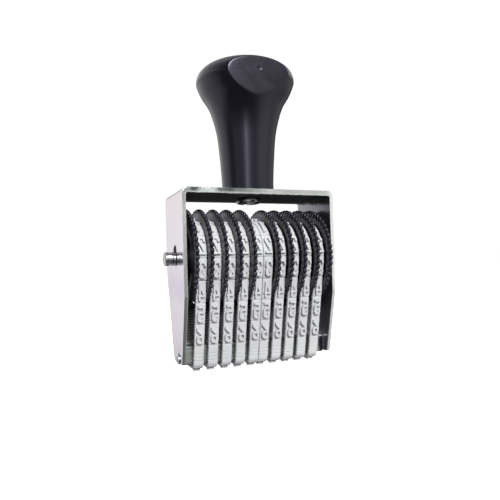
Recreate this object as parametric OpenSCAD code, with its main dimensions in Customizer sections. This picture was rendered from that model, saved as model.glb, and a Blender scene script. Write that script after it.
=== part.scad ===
// Ten-band numbering stamp.
// X runs across the bands, -Y is the front, +Z is up.
// The origin is on the printing plane, below the axle.

/* [Wheels] */
// Distance from one wheel to the next in each group of five
pitch = 3.84; // [3.76:0.02:3.92]
// Thickness of a wheel's disc; its knurled rim is wider
flange_t = 0.75; // [0.65:0.05:0.85]
// Radius over the knurl
wheel_r = 13.23; // [12.83:0.1:13.73]
// Number of knurl teeth on a wheel
knurl_teeth = 50; // [40:1:64]
// Depth of a knurl tooth
knurl_depth = 0.5; // [0.3:0.05:0.6]
// Number of teeth on the hub that drives the band
hub_teeth = 36; // [24:1:44]

/* [Bands] */
// Width of one band
band_w = 2.65; // [2.45:0.05:2.65]
// Thickness of a band without its characters
band_t = 1.08; // [0.9:0.02:1.1]
// Height of the raised characters
relief = 0.74; // [0.6:0.02:0.8]
// Width of a character
glyph_w = 1.9; // [1.7:0.1:2.1]
// Height of a character
glyph_h = 4.3; // [4:0.1:4.5]
// Stroke of a character
stroke = 0.55; // [0.45:0.05:0.6]

/* [Frame] */
// Thickness of the sheet
sheet_t = 1; // [0.8:0.1:1.2]
// Thickness of the web across the top
web_t = 1.45; // [1.25:0.05:1.5]
// Mean clearance between an outer wheel's disc and its cheek
side_gap = 1.555; // [1.355:0.05:2.055]
// Height of the top of the web above the printing plane
web_top = 47.65; // [47.25:0.1:49.65]
// Front edge of the sheet, forward of the axle
frame_front = 9.2; // [8.7:0.1:9.7]
// Rear edge of the sheet, behind the axle
frame_rear = 10.3; // [9.8:0.1:10.8]

/* [Axle] */
// Height of the axle above the printing plane
axle_z = 29.7; // [29.5:0.1:29.9]
// Diameter of the axle under the wheels
axle_d = 4.5; // [4.2:0.1:4.8]
// Diameter of its journals in the cheeks
journal_d = 3.6; // [3.2:0.1:3.8]
// How far each journal stands out of its cheek
journal_out = 3.15; // [2.35:0.1:3.65]

/* [Handle] */
// Height of the knob's top above the printing plane
knob_top = 84.4; // [83.9:0.1:85.4]
// Height of the knob's widest line
knob_z = 78.2; // [77.9:0.1:78.4]
// Radius of the knob
knob_r = 13.8; // [13.4:0.1:14.1]
// Radius of the neck where it stands on the web
neck_r = 7.25; // [6.8:0.05:7.4]
// Distance of the flat from the handle's centre line
flat_y = 10.85; // [10.35:0.1:11.25]
// Lean of the flat, in degrees
flat_lean = -2; // [-3:0.5:2]
// Turn of the flat about the handle's axis
flat_turn = -2; // [-4:1:4]

/* [Handle screw] */
// Diameter of the screw in the handle
screw_d = 3.5; // [3:0.1:3.8]
// Diameter of the screw's head
head_d = 6.8; // [6.4:0.1:7.2]
// Length of the screw above the web
screw_l = 12; // [9:1:16]

/* [Hidden] */

handle_x = -0.25;                     // the handle stands a little to the left of the middle
pack_x = -0.3;                        // the wheels and bands sit a little to the left of the middle
band_off = 1.4;                       // first band from the middle of the pack
wheel_off = band_off + pitch / 2;     // first wheel, half way to the next band
mid_gap = 0.26;                       // between the two hubs that meet in the middle
hub_w = wheel_off - flange_t / 2 - mid_gap / 2;
hub_r = 8.6;                          // over the hub's teeth
rim_w = pitch - band_w - 0.13;        // the rim runs between two bands
rim_r = 11.3;                         // inside of the rim, clear of the characters
inner_x = wheel_off + 4 * pitch + flange_t / 2 + side_gap;
outer_x = inner_x + sheet_t;
web_low = web_top - web_t;

// band centre line: a large arc over the hub, two small arcs round the bridge
hub_b = 9.47;                         // middle of the band's thickness on the hub
cor_b = 1.35;                         // the same round each lower corner
cor_y = [-2.43, 2.07];                 // centres of the lower corners
cor_z = relief + cor_b + band_t / 2;
half_b = band_t / 2;

// outward normal of the straight runs, degrees from +Y towards +Z
function run_normal(cy, sgn) =
    let(dy = cy, dz = cor_z - axle_z, l = norm([dy, dz]), a = acos((hub_b - cor_b) / l))
    atan2(dz, dy) + sgn * a;
n_f = run_normal(cor_y[0], -1) + 360; // front run
n_r = run_normal(cor_y[1], 1);        // rear run

function dir(b) = [cos(b), sin(b)];

half_flat = (cor_y[1] - cor_y[0]) / 2;
mid_y = (cor_y[0] + cor_y[1]) / 2;
arc_f = (270 - n_f) * PI / 180 * cor_b;
arc_r = (n_r + 360 - 270) * PI / 180 * cor_b;
run_f = norm([0, axle_z] + hub_b * dir(n_f) - [cor_y[0], cor_z] - cor_b * dir(n_f));
run_r = norm([0, axle_z] + hub_b * dir(n_r) - [cor_y[1], cor_z] - cor_b * dir(n_r));

// point and normal of the centre line at distance s from the middle of the
// printing face; positive s climbs the front, negative s the rear
function path(s) =
    s >= 0 ?
        (s <= half_flat ? [mid_y - s, cor_z - cor_b, 270] :
         s <= half_flat + arc_f ?
            let(b = 270 - (s - half_flat) / cor_b * 180 / PI)
            [cor_y[0] + cor_b * cos(b), cor_z + cor_b * sin(b), b] :
         s <= half_flat + arc_f + run_f ?
            let(t = s - half_flat - arc_f, u = dir(n_f - 90),
                p = [cor_y[0], cor_z] + cor_b * dir(n_f) + t * u)
            [p[0], p[1], n_f] :
            let(b = n_f - (s - half_flat - arc_f - run_f) / hub_b * 180 / PI)
            [hub_b * cos(b), axle_z + hub_b * sin(b), b]) :
        (-s <= half_flat ? [mid_y - s, cor_z - cor_b, 270] :
         -s <= half_flat + arc_r ?
            let(b = 270 + (-s - half_flat) / cor_b * 180 / PI)
            [cor_y[1] + cor_b * cos(b), cor_z + cor_b * sin(b), b] :
         -s <= half_flat + arc_r + run_r ?
            let(t = -s - half_flat - arc_r, u = dir(n_r + 90),
                p = [cor_y[1], cor_z] + cor_b * dir(n_r) + t * u)
            [p[0], p[1], n_r] :
            let(b = n_r + (-s - half_flat - arc_r - run_r) / hub_b * 180 / PI)
            [hub_b * cos(b), axle_z + hub_b * sin(b), b]);

// characters by place: distance along the band and what stands there
front_step = 5.76;
rear_step = 5.8;
front_0 = 0.25;
rear_0 = 0.6;
CHARS = [["7", 0], for (k = [2 : 8]) ["654321+"[k - 2], front_0 + k * front_step],
         for (k = [1 : 7]) ["890,/.-"[k - 1], -(rear_0 + k * rear_step)]];
GROOVES = [for (k = [1 : 7]) front_0 + (k + 0.5) * front_step,
           for (k = [1 : 7]) -(rear_0 + (k + 0.5) * rear_step)];

// closed outline of a band in Y and Z, grown by d from its centre line
module loop_2d(d) {
    translate([0, axle_z]) circle(hub_b + d, $fn = 96);
    for (y = cor_y) translate([y, cor_z]) circle(cor_b + d, $fn = 48);
    polygon([[0, axle_z] + (hub_b + d) * dir(n_f),
             [cor_y[0], cor_z] + (cor_b + d) * dir(n_f),
             [cor_y[0], cor_z - cor_b - d],
             [cor_y[1], cor_z - cor_b - d],
             [cor_y[1], cor_z] + (cor_b + d) * dir(n_r),
             [0, axle_z] + (hub_b + d) * dir(n_r)]);
}

// runs an outline drawn in Y and Z along X, centred on X = 0
module along_x(w) {
    rotate([90, 0, 90]) translate([0, 0, -w / 2]) linear_extrude(w) children();
}

// places something on the band's centre line, its +Z outwards
module on_band(s) {
    p = path(s);
    translate([0, p[0], p[1]]) rotate([p[2] - 90, 0, 0]) children();
}

// ---- characters, drawn the right way round ----
ga = glyph_w / 2;
gh = glyph_h / 2;
gs = stroke;

module oval(r, d) {
    for (y = [-d, d]) translate([0, y]) circle(r, $fn = 40);
    translate([-r, -d]) square([2 * r, 2 * d]);
}

module oval_ring(y, half, r = ga) {
    translate([0, y]) difference() {
        oval(r, half - r);
        oval(r - gs, half - r);
    }
}

module top_arc() {
    difference() {
        translate([0, gh - ga]) circle(ga, $fn = 40);
        translate([0, gh - ga]) circle(ga - gs, $fn = 40);
        translate([-ga - 1, gh - 2 * ga - 1]) square([2 * ga + 2, ga + 1]);
    }
}

module glyph(c) {
    up = gh * 0.54;       // half height of the upper bowl
    lo = gh - up + gs / 2;
    lw = gh * 0.61;       // half height of the bowl of 5
    l6 = gh * 0.523;      // half height of the bowl of 6 and 9
    if (c == "0") difference() { oval(ga, gh - ga); oval(ga - gs, gh - ga); }
    if (c == "1") {
        translate([0, -gh]) square([gs * 1.05, glyph_h]);
        polygon([[0.1, gh], [0, gh], [-0.75 * ga, gh - 0.68], [-0.75 * ga, gh - 1.25],
                 [0, gh - 0.8], [0.1, gh - 0.8]]);
    }
    if (c == "2") {
        top_arc();
        translate([-ga, gh - ga - 0.3]) square([gs, 0.31]);
        polygon([[ga, gh - ga + 0.01], [ga - gs, gh - ga + 0.01], [0.3 * ga, gh - 1.4],
                 [-ga, -gh + 0.78], [-ga, -gh], [ga, -gh], [ga, -gh + gs],
                 [-0.25 * ga, -gh + gs], [0.86 * ga, gh - 1.75]]);
    }
    if (c == "3") difference() {
        union() {
            oval_ring(gh - up, up);
            oval_ring(-gh + lo, lo);
        }
        translate([-ga - 1, -gh + lo]) square([ga + 0.85, gh - up + gh - lo - 0.02]);
    }
    if (c == "4") difference() {
        polygon([[0.1 * ga, gh], [0.8 * ga, gh], [0.8 * ga, -gh + 1.5], [ga, -gh + 1.5],
                 [ga, -gh + 0.95], [0.8 * ga, -gh + 0.95], [0.8 * ga, -gh],
                 [0.8 * ga - gs, -gh], [0.8 * ga - gs, -gh + 0.95], [-ga, -gh + 0.95],
                 [-ga, -gh + 1.55]]);
        polygon([[0.8 * ga - gs, gh - 1.35], [0.8 * ga - gs, -gh + 1.5],
                 [-0.42 * ga, -gh + 1.5]]);
    }
    if (c == "5") {
        translate([-0.9 * ga, gh - gs]) square([1.8 * ga, gs]);
        translate([-0.9 * ga, -gh + lw + 0.2]) square([gs, glyph_h - lw - 0.3]);
        difference() {
            oval_ring(-gh + lw, lw);
            translate([-ga - 1, -gh + lw - 0.25]) square([ga + 0.9, 0.75]);
        }
    }
    if (c == "6") {
        oval_ring(-gh + l6, l6);
        polygon([[-ga, -gh + l6], [-ga, 0.1], [-0.79 * ga, 0.5], [0.86 * ga, gh], [ga, gh],
                 [ga, gh - 0.7], [-0.32 * ga, 0.15], [-ga + gs, -gh + l6]]);
    }
    if (c == "7") polygon([[-ga, gh], [ga, gh], [ga, gh - 0.63], [-0.05 * ga, -gh],
                           [-0.7 * ga, -gh], [0.42 * ga, gh - gs], [-ga, gh - gs]]);
    if (c == "8") {
        oval_ring(gh - up, up, 0.93 * ga);
        oval_ring(-gh + lo, lo);
    }
    if (c == "9") rotate(180) glyph("6");
    if (c == ",") polygon([[-0.35, -gh + 1.1], [0.35, -gh + 1.1], [0.35, -gh + 0.5],
                           [0, -gh - 0.1], [-0.3, -gh - 0.1], [-0.05, -gh + 0.4],
                           [-0.35, -gh + 0.4]]);
    if (c == "+") {
        translate([-ga, -gs / 2]) square([2 * ga, gs]);
        translate([-gs / 2, -ga]) square([gs, 2 * ga]);
    }
    if (c == "/") polygon([[ga, gh], [ga - 0.5, gh], [-ga, -gh], [-ga + 0.5, -gh]]);
    if (c == ".") translate([-0.34, -gh]) square(0.68);
    if (c == "-") translate([-0.72, -gs / 2]) square([1.44, gs]);
}

// ---- sheet metal ----
module u_section() {
    ro = 1.6;
    ri = ro - sheet_t;
    difference() {
        union() {
            translate([-outer_x, 0]) square([2 * outer_x, web_top - ro]);
            translate([-outer_x + ro, 0]) square([2 * (outer_x - ro), web_top]);
            for (sx = [-1, 1]) translate([sx * (outer_x - ro), web_top - ro]) circle(ro, $fn = 48);
        }
        translate([-inner_x, -1]) square([2 * inner_x, web_low - ri + 1]);
        translate([-inner_x + ri, -1]) square([2 * (inner_x - ri), web_low + 1]);
        for (sx = [-1, 1]) translate([sx * (inner_x - ri), web_low - ri]) circle(ri, $fn = 48);
    }
}

// side view of the cheeks, with rounded lower corners
module cheek_2d() {
    foot = 2.3;
    rf = 1.1;
    rr = 1.8;
    // unit directions of the two slanting edges, going down
    uf = [frame_front - 4.95, foot - 19.8] / norm([frame_front - 4.95, foot - 19.8]);
    ur = [3.78 - frame_rear, foot - 24.3] / norm([3.78 - frame_rear, foot - 24.3]);
    nf = [uf[1], -uf[0]];
    nr = [-ur[1], ur[0]];
    // centres of the corner arcs: rf above the foot, rf inside the edge
    kf = ((foot + rf - 19.8) - rf * (-nf[1])) / uf[1];
    kr = ((foot + rr - 24.3) - rr * (-nr[1])) / ur[1];
    cf = [-frame_front, 19.8] + kf * uf - rf * nf;
    cr = [frame_rear, 24.3] + kr * ur - rr * nr;
    af = atan2(nf[1], nf[0]) + 360;
    ar = atan2(nr[1], nr[0]) + 360;
    polygon([[-frame_front, web_top + 1], [frame_rear, web_top + 1], [frame_rear, 24.3],
             for (i = [0 : 8]) cr + rr * dir(ar + (270 - ar) * i / 8),
             for (i = [0 : 8]) cf + rf * dir(270 + (af - 270) * i / 8),
             [-frame_front, 19.8]]);
}

module frame() {
    color([0.86, 0.85, 0.89]) difference() {
        intersection() {
            rotate([90, 0, 0]) translate([0, 0, -20]) linear_extrude(40) u_section();
            along_x(2 * outer_x + 4) cheek_2d();
        }
        // upright slots for the axle
        for (z = [axle_z, axle_z + 1.77]) translate([-outer_x - 1, 0, z])
            rotate([0, 90, 0]) cylinder(r = journal_d / 2 + 0.05, h = 2 * outer_x + 2, $fn = 64);
        translate([-outer_x - 1, -journal_d / 2 - 0.05, axle_z])
            cube([2 * outer_x + 2, journal_d + 0.1, 1.77]);
        // holes for the tenons of the bridge
        translate([-outer_x - 1, -1.35, 3.78]) rotate([0, 90, 0])
            cylinder(r = 1.2, h = 2 * outer_x + 2, $fn = 48);
        // hole for the handle's screw
        translate([handle_x, 0, web_low - 1]) cylinder(r = screw_d / 2 + 0.15, h = sheet_t + 2, $fn = 48);
    }
}

// ---- handle ----
function bez(p, t) = pow(1 - t, 3) * p[0] + 3 * pow(1 - t, 2) * t * p[1]
                   + 3 * (1 - t) * t * t * p[2] + pow(t, 3) * p[3];

module handle_profile() {
    neck = [[neck_r, web_top], [neck_r - 0.18, web_top + 4], [7.92, 60.3], [8.19, 63.9]];
    flare = [[8.19, 63.9], [10.8, 75.5], [11.6, 71.7], [knob_r, knob_z]];
    e = 2.4;
    polygon([[0, web_top],
             for (i = [0 : 9]) bez(neck, i / 10),
             for (i = [0 : 17]) bez(flare, i / 18),
             for (i = [0 : 23]) let(a = i * 90 / 24)
                [knob_r * pow(cos(a), 2 / e), knob_z + (knob_top - knob_z) * pow(sin(a), 2 / e)],
             [0, knob_top]]);
}

module handle() {
    color([0.05, 0.05, 0.055]) translate([handle_x, 0, 0]) difference() {
        rotate_extrude($fn = 96) handle_profile();
        // the flat
        rotate([0, 0, flat_turn]) translate([0, -flat_y, 75.6]) rotate([-flat_lean, 0, 0])
            translate([-25, -20, -20]) cube([50, 20, 40]);
        // blind bore for the screw
        translate([0, 0, web_top - 1]) cylinder(r = screw_d / 2 + 0.05, h = screw_l + 1.5, $fn = 48);
    }
}

module handle_screw() {
    head_h = 1.85;
    color([0.62, 0.62, 0.65]) translate([handle_x, 0, 0]) difference() {
        union() {
            translate([0, 0, web_low - head_h]) cylinder(r = head_d / 2, h = head_h, $fn = 64);
            translate([0, 0, web_low - 0.5]) cylinder(r = screw_d / 2, h = screw_l + web_t + 0.5, $fn = 48);
        }
        translate([-0.55, -10, web_low - head_h - 1]) cube([1.1, 20, 1.9]);
    }
}

// ---- bridge ----
module bridge() {
    r = 0.8;
    y0 = -2.97;
    y1 = 2.61;
    z0 = relief + band_t + 0.06;      // just above the inside of the bands
    z1 = 6.75;
    zt = axle_z - wheel_r - 0.27;
    color([0.72, 0.74, 0.72]) {
        along_x(2 * inner_x - 0.1) {
            translate([y0, z0 + r]) square([y1 - y0, z1 - z0 - r]);
            translate([y0 + r, z0]) square([y1 - y0 - 2 * r, r + 1]);
            for (y = [y0 + r, y1 - r]) translate([y, z0 + r]) circle(r, $fn = 40);
            // upright blade inside the bands, its top folded back under the knurls
            translate([1.4, z1 - 1]) square([1.2, zt - z1 + 1]);
            polygon([[1.4, zt - 1.2], [5.5, zt], [5.5, zt + 1.2], [1.4, zt]]);
        }
        for (sx = [-1, 1]) translate([0, -1.35, 3.78]) rotate([0, sx * 90, 0]) {
            translate([0, 0, inner_x - 1]) cylinder(r = 1.17, h = sheet_t + 1.2, $fn = 48);
            // peened end
            translate([0, 0, outer_x + 0.02]) cylinder(r1 = 1.45, r2 = 1.2, h = 0.3, $fn = 48);
        }
    }
}

// ---- axle ----
module axle() {
    end_x = outer_x + journal_out;
    crown = 1;
    jr = journal_d / 2;
    color([0.78, 0.78, 0.8]) translate([0, 0, axle_z]) rotate([0, 90, 0]) {
        translate([0, 0, -inner_x + 0.1]) cylinder(r = axle_d / 2, h = 2 * inner_x - 0.2, $fn = 64);
        rotate_extrude($fn = 64)
            polygon([[0, -end_x],
                     for (i = [0 : 8]) let(a = i * 90 / 8)
                        [jr * (0.25 + 0.75 * sin(a)), -end_x + crown - crown * cos(a)],
                     for (i = [0 : 8]) let(a = 90 - i * 90 / 8)
                        [jr * (0.25 + 0.75 * sin(a)), end_x - crown + crown * cos(a)],
                     [0, end_x]]);
    }
}

module spacer(sx) {
    gap = side_gap - sx * pack_x;     // wider on the right, because the pack sits to the left
    color([0.75, 0.72, 0.6]) translate([sx * (inner_x - 0.05), 0, axle_z]) rotate([0, -sx * 90, 0])
        difference() {
            cylinder(r = 4.05, h = gap - 0.1, $fn = 64);
            translate([0, 0, -1]) cylinder(r = axle_d / 2 + 0.05, h = gap + 2, $fn = 64);
        }
}

// ---- wheels ----
module toothed_2d(n, r_out, depth) {
    polygon([for (i = [0 : n - 1], q = [0 : 3])
        let(a = 360 / n * (i + [0.04, 0.3, 0.52, 0.78][q]),
            r = q == 0 || q == 3 ? r_out - depth : r_out)
        [r * cos(a), r * sin(a)]]);
}

// a rim of rounded teeth
module knurl_2d() {
    polygon([for (i = [0 : knurl_teeth - 1], q = [0 : 4])
        let(a = 360 / knurl_teeth * (i + [0, 0.15, 0.36, 0.64, 0.85][q]),
            r = wheel_r - knurl_depth * [1, 0.38, 0, 0, 0.38][q])
        [r * cos(a), r * sin(a)]]);
}

// k counts from 0 at the left; the left five have their hubs on the right
module wheel(k) {
    sx = k < 5 ? -1 : 1;
    xf = pack_x + sx * (wheel_off + (k < 5 ? 4 - k : k - 5) * pitch);
    color([0.13, 0.13, 0.14]) translate([xf, 0, axle_z]) rotate([0, -sx * 90, 0]) difference() {
        union() {
            translate([0, 0, -flange_t / 2]) cylinder(r = rim_r + 0.3, h = flange_t, $fn = 96);
            translate([0, 0, -rim_w / 2]) linear_extrude(rim_w) difference() {
                rotate(k * 1.7) knurl_2d();
                circle(rim_r, $fn = 96);
            }
            translate([0, 0, flange_t / 2 - 0.3]) linear_extrude(hub_w + 0.3)
                toothed_2d(hub_teeth, hub_r, 0.22);
        }
        translate([0, 0, -5]) cylinder(r = axle_d / 2 + 0.05, h = hub_w + 10, $fn = 64);
    }
}

// ---- bands ----
module band(k) {
    sx = k < 5 ? -1 : 1;
    xb = pack_x + sx * (band_off + (k < 5 ? 4 - k : k - 5) * pitch);
    color([0.78, 0.78, 0.8]) translate([xb, 0, 0]) {
        difference() {
            along_x(band_w) difference() { loop_2d(half_b); loop_2d(-half_b); }
            for (s = GROOVES) on_band(s)
                translate([-5, -0.23, half_b - 0.27]) cube([10, 0.46, 2]);
        }
        intersection() {
            along_x(band_w + 1) difference() { loop_2d(half_b + relief); loop_2d(half_b - 0.32); }
            for (c = CHARS) on_band(c[1]) linear_extrude(4) mirror([1, 0]) glyph(c[0]);
        }
    }
}

frame();
handle();
handle_screw();
bridge();
axle();
spacer(-1);  // spacer_left
spacer(1);  // spacer_right
wheel(0);  // wheel_1
wheel(1);  // wheel_2
wheel(2);  // wheel_3
wheel(3);  // wheel_4
wheel(4);  // wheel_5
wheel(5);  // wheel_6
wheel(6);  // wheel_7
wheel(7);  // wheel_8
wheel(8);  // wheel_9
wheel(9);  // wheel_10
band(0);  // band_1
band(1);  // band_2
band(2);  // band_3
band(3);  // band_4
band(4);  // band_5
band(5);  // band_6
band(6);  // band_7
band(7);  // band_8
band(8);  // band_9
band(9);  // band_10
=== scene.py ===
import math

import bmesh
import bpy
import numpy as np
from mathutils import Matrix, Vector


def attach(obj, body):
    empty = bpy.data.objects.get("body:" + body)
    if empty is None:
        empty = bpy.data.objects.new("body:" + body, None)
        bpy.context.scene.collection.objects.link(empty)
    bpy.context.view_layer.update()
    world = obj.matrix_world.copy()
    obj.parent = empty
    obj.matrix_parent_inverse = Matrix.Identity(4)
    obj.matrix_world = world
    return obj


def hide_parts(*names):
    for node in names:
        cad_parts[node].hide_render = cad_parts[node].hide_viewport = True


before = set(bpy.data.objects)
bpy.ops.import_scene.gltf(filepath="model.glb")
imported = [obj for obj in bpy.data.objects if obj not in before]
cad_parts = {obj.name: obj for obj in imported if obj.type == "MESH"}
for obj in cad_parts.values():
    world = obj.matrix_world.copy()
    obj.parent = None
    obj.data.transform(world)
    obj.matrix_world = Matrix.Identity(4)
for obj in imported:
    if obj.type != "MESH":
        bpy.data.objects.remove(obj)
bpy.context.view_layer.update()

MM = 0.001
STAMP = "stamp"

# ------------------------------------------------------------------ sizes, mm
AXLE_Z = 29.7
HANDLE_X, PACK_X = -0.25, -0.3
PITCH = 3.84
FLANGE_T = 0.75
WHEEL_R = 13.23
HUB_R = 8.6
MID_GAP = 0.26
BAND_OFF = 1.4
WHEEL_OFF = BAND_OFF + PITCH / 2
HUB_W = WHEEL_OFF - FLANGE_T / 2 - MID_GAP / 2
BAND_W = 2.65
RIM_W = PITCH - BAND_W - 0.07
RIM_R = 11.3
SHEET = 1.0
SIDE_GAP = 1.555
INNER_X = WHEEL_OFF + 4 * PITCH + FLANGE_T / 2 + SIDE_GAP
OUTER_X = INNER_X + SHEET
WEB_TOP = 47.65
WEB_T = 1.45
WEB_LOW = WEB_TOP - WEB_T
FRONT, REAR = 9.2, 10.3
KNOB_TOP, KNOB_Z, KNOB_R, NECK_R = 84.4, 78.2, 13.8, 7.25
FLAT_Y, FLAT_LEAN, FLAT_TURN = 10.85, math.radians(-2), math.radians(-2)

# band centre line
HUB_B, COR_B, HALF_B, RELIEF = 9.47, 1.35, 0.54, 0.74
COR_Y = (-2.43, 2.07)
COR_Z = RELIEF + COR_B + HALF_B
GLYPH_H, GLYPH_W, STROKE = 4.3, 1.9, 0.55
FRONT_STEP, FRONT_0 = 5.76, 0.25
REAR_STEP, REAR_0 = 5.8, 0.6

rng = np.random.default_rng(7)


# ------------------------------------------------------------------ mesh tools
def make_object(name, verts, faces, mats, mat_index=None, smooth=True, sharp=None):
    """A mesh object from millimetre points."""
    me = bpy.data.meshes.new(name)
    me.from_pydata((np.asarray(verts, float) * MM).tolist(), [], [list(map(int, f)) for f in faces])
    for m in mats:
        me.materials.append(m)
    if mat_index is not None:
        me.polygons.foreach_set("material_index", np.asarray(mat_index, np.int32))
    me.validate()
    me.polygons.foreach_set("use_smooth", [smooth] * len(me.polygons))
    if sharp is not None:
        me.set_sharp_from_angle(angle=math.radians(sharp))
    me.update()
    ob = bpy.data.objects.new(name, me)
    bpy.context.scene.collection.objects.link(ob)
    return ob


def grid_faces(nu, nv, wrap_u=True, wrap_v=True, flip=False):
    """Quads over an nu by nv grid of points numbered u * nv + v."""
    us = nu if wrap_u else nu - 1
    vs = nv if wrap_v else nv - 1
    i, j = np.meshgrid(np.arange(us), np.arange(vs), indexing="ij")
    a = i * nv + j
    b = ((i + 1) % nu) * nv + j
    c = ((i + 1) % nu) * nv + (j + 1) % nv
    d = i * nv + (j + 1) % nv
    f = np.stack([a, b, c, d], -1).reshape(-1, 4)
    return f[:, ::-1] if flip else f


def outward(ob):
    """Turns every face outwards."""
    bm = bmesh.new()
    bm.from_mesh(ob.data)
    bmesh.ops.recalc_face_normals(bm, faces=bm.faces)
    bm.to_mesh(ob.data)
    bm.free()
    return ob


def weighted(ob):
    m = ob.modifiers.new("weighted", "WEIGHTED_NORMAL")
    m.keep_sharp = True
    m.weight = 80
    return ob


def lathe(name, profile, mats, segs=128, axis="Z", centre=(0, 0, 0), mat_of=None, sharp=38):
    """Turns a profile of (radius, height) points round an axis. Its ends may lie on the axis."""
    p = np.asarray(profile, float)
    a = np.arange(segs) * 2 * math.pi / segs
    verts, faces, idx = [], [], []
    ring_start = []
    for r, h in p:
        if r < 1e-6:
            ring_start.append((len(verts), 1))
            verts.append((0, 0, h))
        else:
            ring_start.append((len(verts), segs))
            verts.extend(zip(r * np.cos(a), r * np.sin(a), np.full(segs, h)))
    for k in range(len(p) - 1):
        (s0, n0), (s1, n1) = ring_start[k], ring_start[k + 1]
        for i in range(segs):
            j = (i + 1) % segs
            if n0 == 1 and n1 == 1:
                continue
            if n0 == 1:
                faces.append((s0, s1 + j, s1 + i))
            elif n1 == 1:
                faces.append((s0 + i, s0 + j, s1))
            else:
                faces.append((s0 + i, s0 + j, s1 + j, s1 + i))
            idx.append(mat_of(k) if mat_of else 0)
    v = np.asarray(verts, float)
    if axis == "X":
        v = v[:, [2, 0, 1]]
    v = v + np.asarray(centre, float)
    ob = make_object(name, v, faces, mats, idx, True, sharp)
    return outward(ob)


def round_profile(points, radius, steps=4):
    """Rounds the inner corners of an open polyline. radius is one number or one per point."""
    pts = [np.asarray(p, float) for p in points]
    rad = [radius] * len(pts) if np.isscalar(radius) else list(radius)
    out = [pts[0]]
    for k in range(1, len(pts) - 1):
        a, b, c = pts[k - 1], pts[k], pts[k + 1]
        r = rad[k]
        if r <= 0:
            out.append(b)
            continue
        u, w = (a - b) / np.linalg.norm(a - b), (c - b) / np.linalg.norm(c - b)
        ang = math.acos(max(-1, min(1, float(u @ w))))
        if ang > math.pi - 0.02:
            out.append(b)
            continue
        d = r / math.tan(ang / 2)
        d = min(d, 0.49 * np.linalg.norm(a - b), 0.49 * np.linalg.norm(c - b))
        for t in np.linspace(0, 1, steps + 1):
            p0, p1 = b + u * d, b + w * d
            out.append((1 - t) ** 2 * p0 + 2 * t * (1 - t) * b + t * t * p1)
    out.append(pts[-1])
    return np.array(out)


def join(name, obs):
    """Joins meshes that share no points into one object, keeping their materials."""
    bm = bmesh.new()
    mats = []
    for o in obs:
        me = o.data
        base = len(bm.faces)
        remap = []
        for m in me.materials:
            if m not in mats:
                mats.append(m)
            remap.append(mats.index(m))
        bm.from_mesh(me)
        bm.faces.ensure_lookup_table()
        for f in list(bm.faces)[base:]:
            f.material_index = remap[f.material_index] if remap else 0
    me = bpy.data.meshes.new(name)
    bm.to_mesh(me)
    bm.free()
    for m in mats:
        me.materials.append(m)
    for o in obs:
        old = o.data
        bpy.data.objects.remove(o)
        bpy.data.meshes.remove(old)
    ob = bpy.data.objects.new(name, me)
    bpy.context.scene.collection.objects.link(ob)
    return ob


def flat_solid(contours, thick, bevel, res=2):
    """A flat plate from closed outlines, with rounded edges, as a bmesh; thickness centred on 0."""
    cu = bpy.data.curves.new("tmp", "CURVE")
    cu.dimensions = "2D"
    cu.fill_mode = "BOTH"
    cu.extrude = thick / 2 - bevel
    cu.bevel_depth = bevel
    cu.bevel_resolution = res
    cu.offset = -bevel
    for c in contours:
        sp = cu.splines.new("POLY")
        sp.points.add(len(c) - 1)
        co = np.zeros((len(c), 4))
        co[:, :2] = c
        co[:, 3] = 1
        sp.points.foreach_set("co", co.ravel())
        sp.use_cyclic_u = True
    ob = bpy.data.objects.new("tmp", cu)
    bpy.context.scene.collection.objects.link(ob)
    dg = bpy.context.evaluated_depsgraph_get()
    dg.update()
    me = bpy.data.meshes.new_from_object(ob.evaluated_get(dg))
    bm = bmesh.new()
    bm.from_mesh(me)
    bmesh.ops.remove_doubles(bm, verts=bm.verts, dist=1e-5)
    bpy.data.objects.remove(ob)
    bpy.data.curves.remove(cu)
    bpy.data.meshes.remove(me)
    return bm


def cut_planes(bm, axis, places):
    n = Vector((0, 0, 0))
    n[axis] = 1
    for c in places:
        p = Vector((0, 0, 0))
        p[axis] = c
        bmesh.ops.bisect_plane(bm, geom=list(bm.verts) + list(bm.edges) + list(bm.faces), dist=1e-6,
                               plane_co=p, plane_no=n)


def bm_arrays(bm):
    bm.verts.index_update()
    v = np.array([tuple(x.co) for x in bm.verts])
    f = [[x.index for x in fc.verts] for fc in bm.faces]
    return v, f


# ------------------------------------------------------------------ materials
def new_mat(name):
    m = bpy.data.materials.new(name)
    m.use_nodes = True
    nt = m.node_tree
    nt.nodes.clear()
    out = nt.nodes.new("ShaderNodeOutputMaterial")
    bs = nt.nodes.new("ShaderNodeBsdfPrincipled")
    nt.links.new(bs.outputs[0], out.inputs[0])
    return m, nt, bs


def node(nt, kind, **props):
    n = nt.nodes.new(kind)
    for k, v in props.items():
        if k in n.inputs:
            n.inputs[k].default_value = v
        else:
            setattr(n, k, v)
    return n


def coords(nt, scale=(1, 1, 1), rot=(0, 0, 0)):
    """Object coordinates in metres, stretched."""
    tc = nt.nodes.new("ShaderNodeTexCoord")
    mp = nt.nodes.new("ShaderNodeMapping")
    mp.inputs["Scale"].default_value = scale
    mp.inputs["Rotation"].default_value = rot
    nt.links.new(tc.outputs["Object"], mp.inputs["Vector"])
    return mp.outputs["Vector"]


def noise(nt, vec, scale, detail=3, rough=0.5, dist=0.0):
    n = nt.nodes.new("ShaderNodeTexNoise")
    n.inputs["Scale"].default_value = scale
    n.inputs["Detail"].default_value = detail
    n.inputs["Roughness"].default_value = rough
    n.inputs["Distortion"].default_value = dist
    nt.links.new(vec, n.inputs["Vector"])
    return n.outputs["Fac"]


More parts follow.
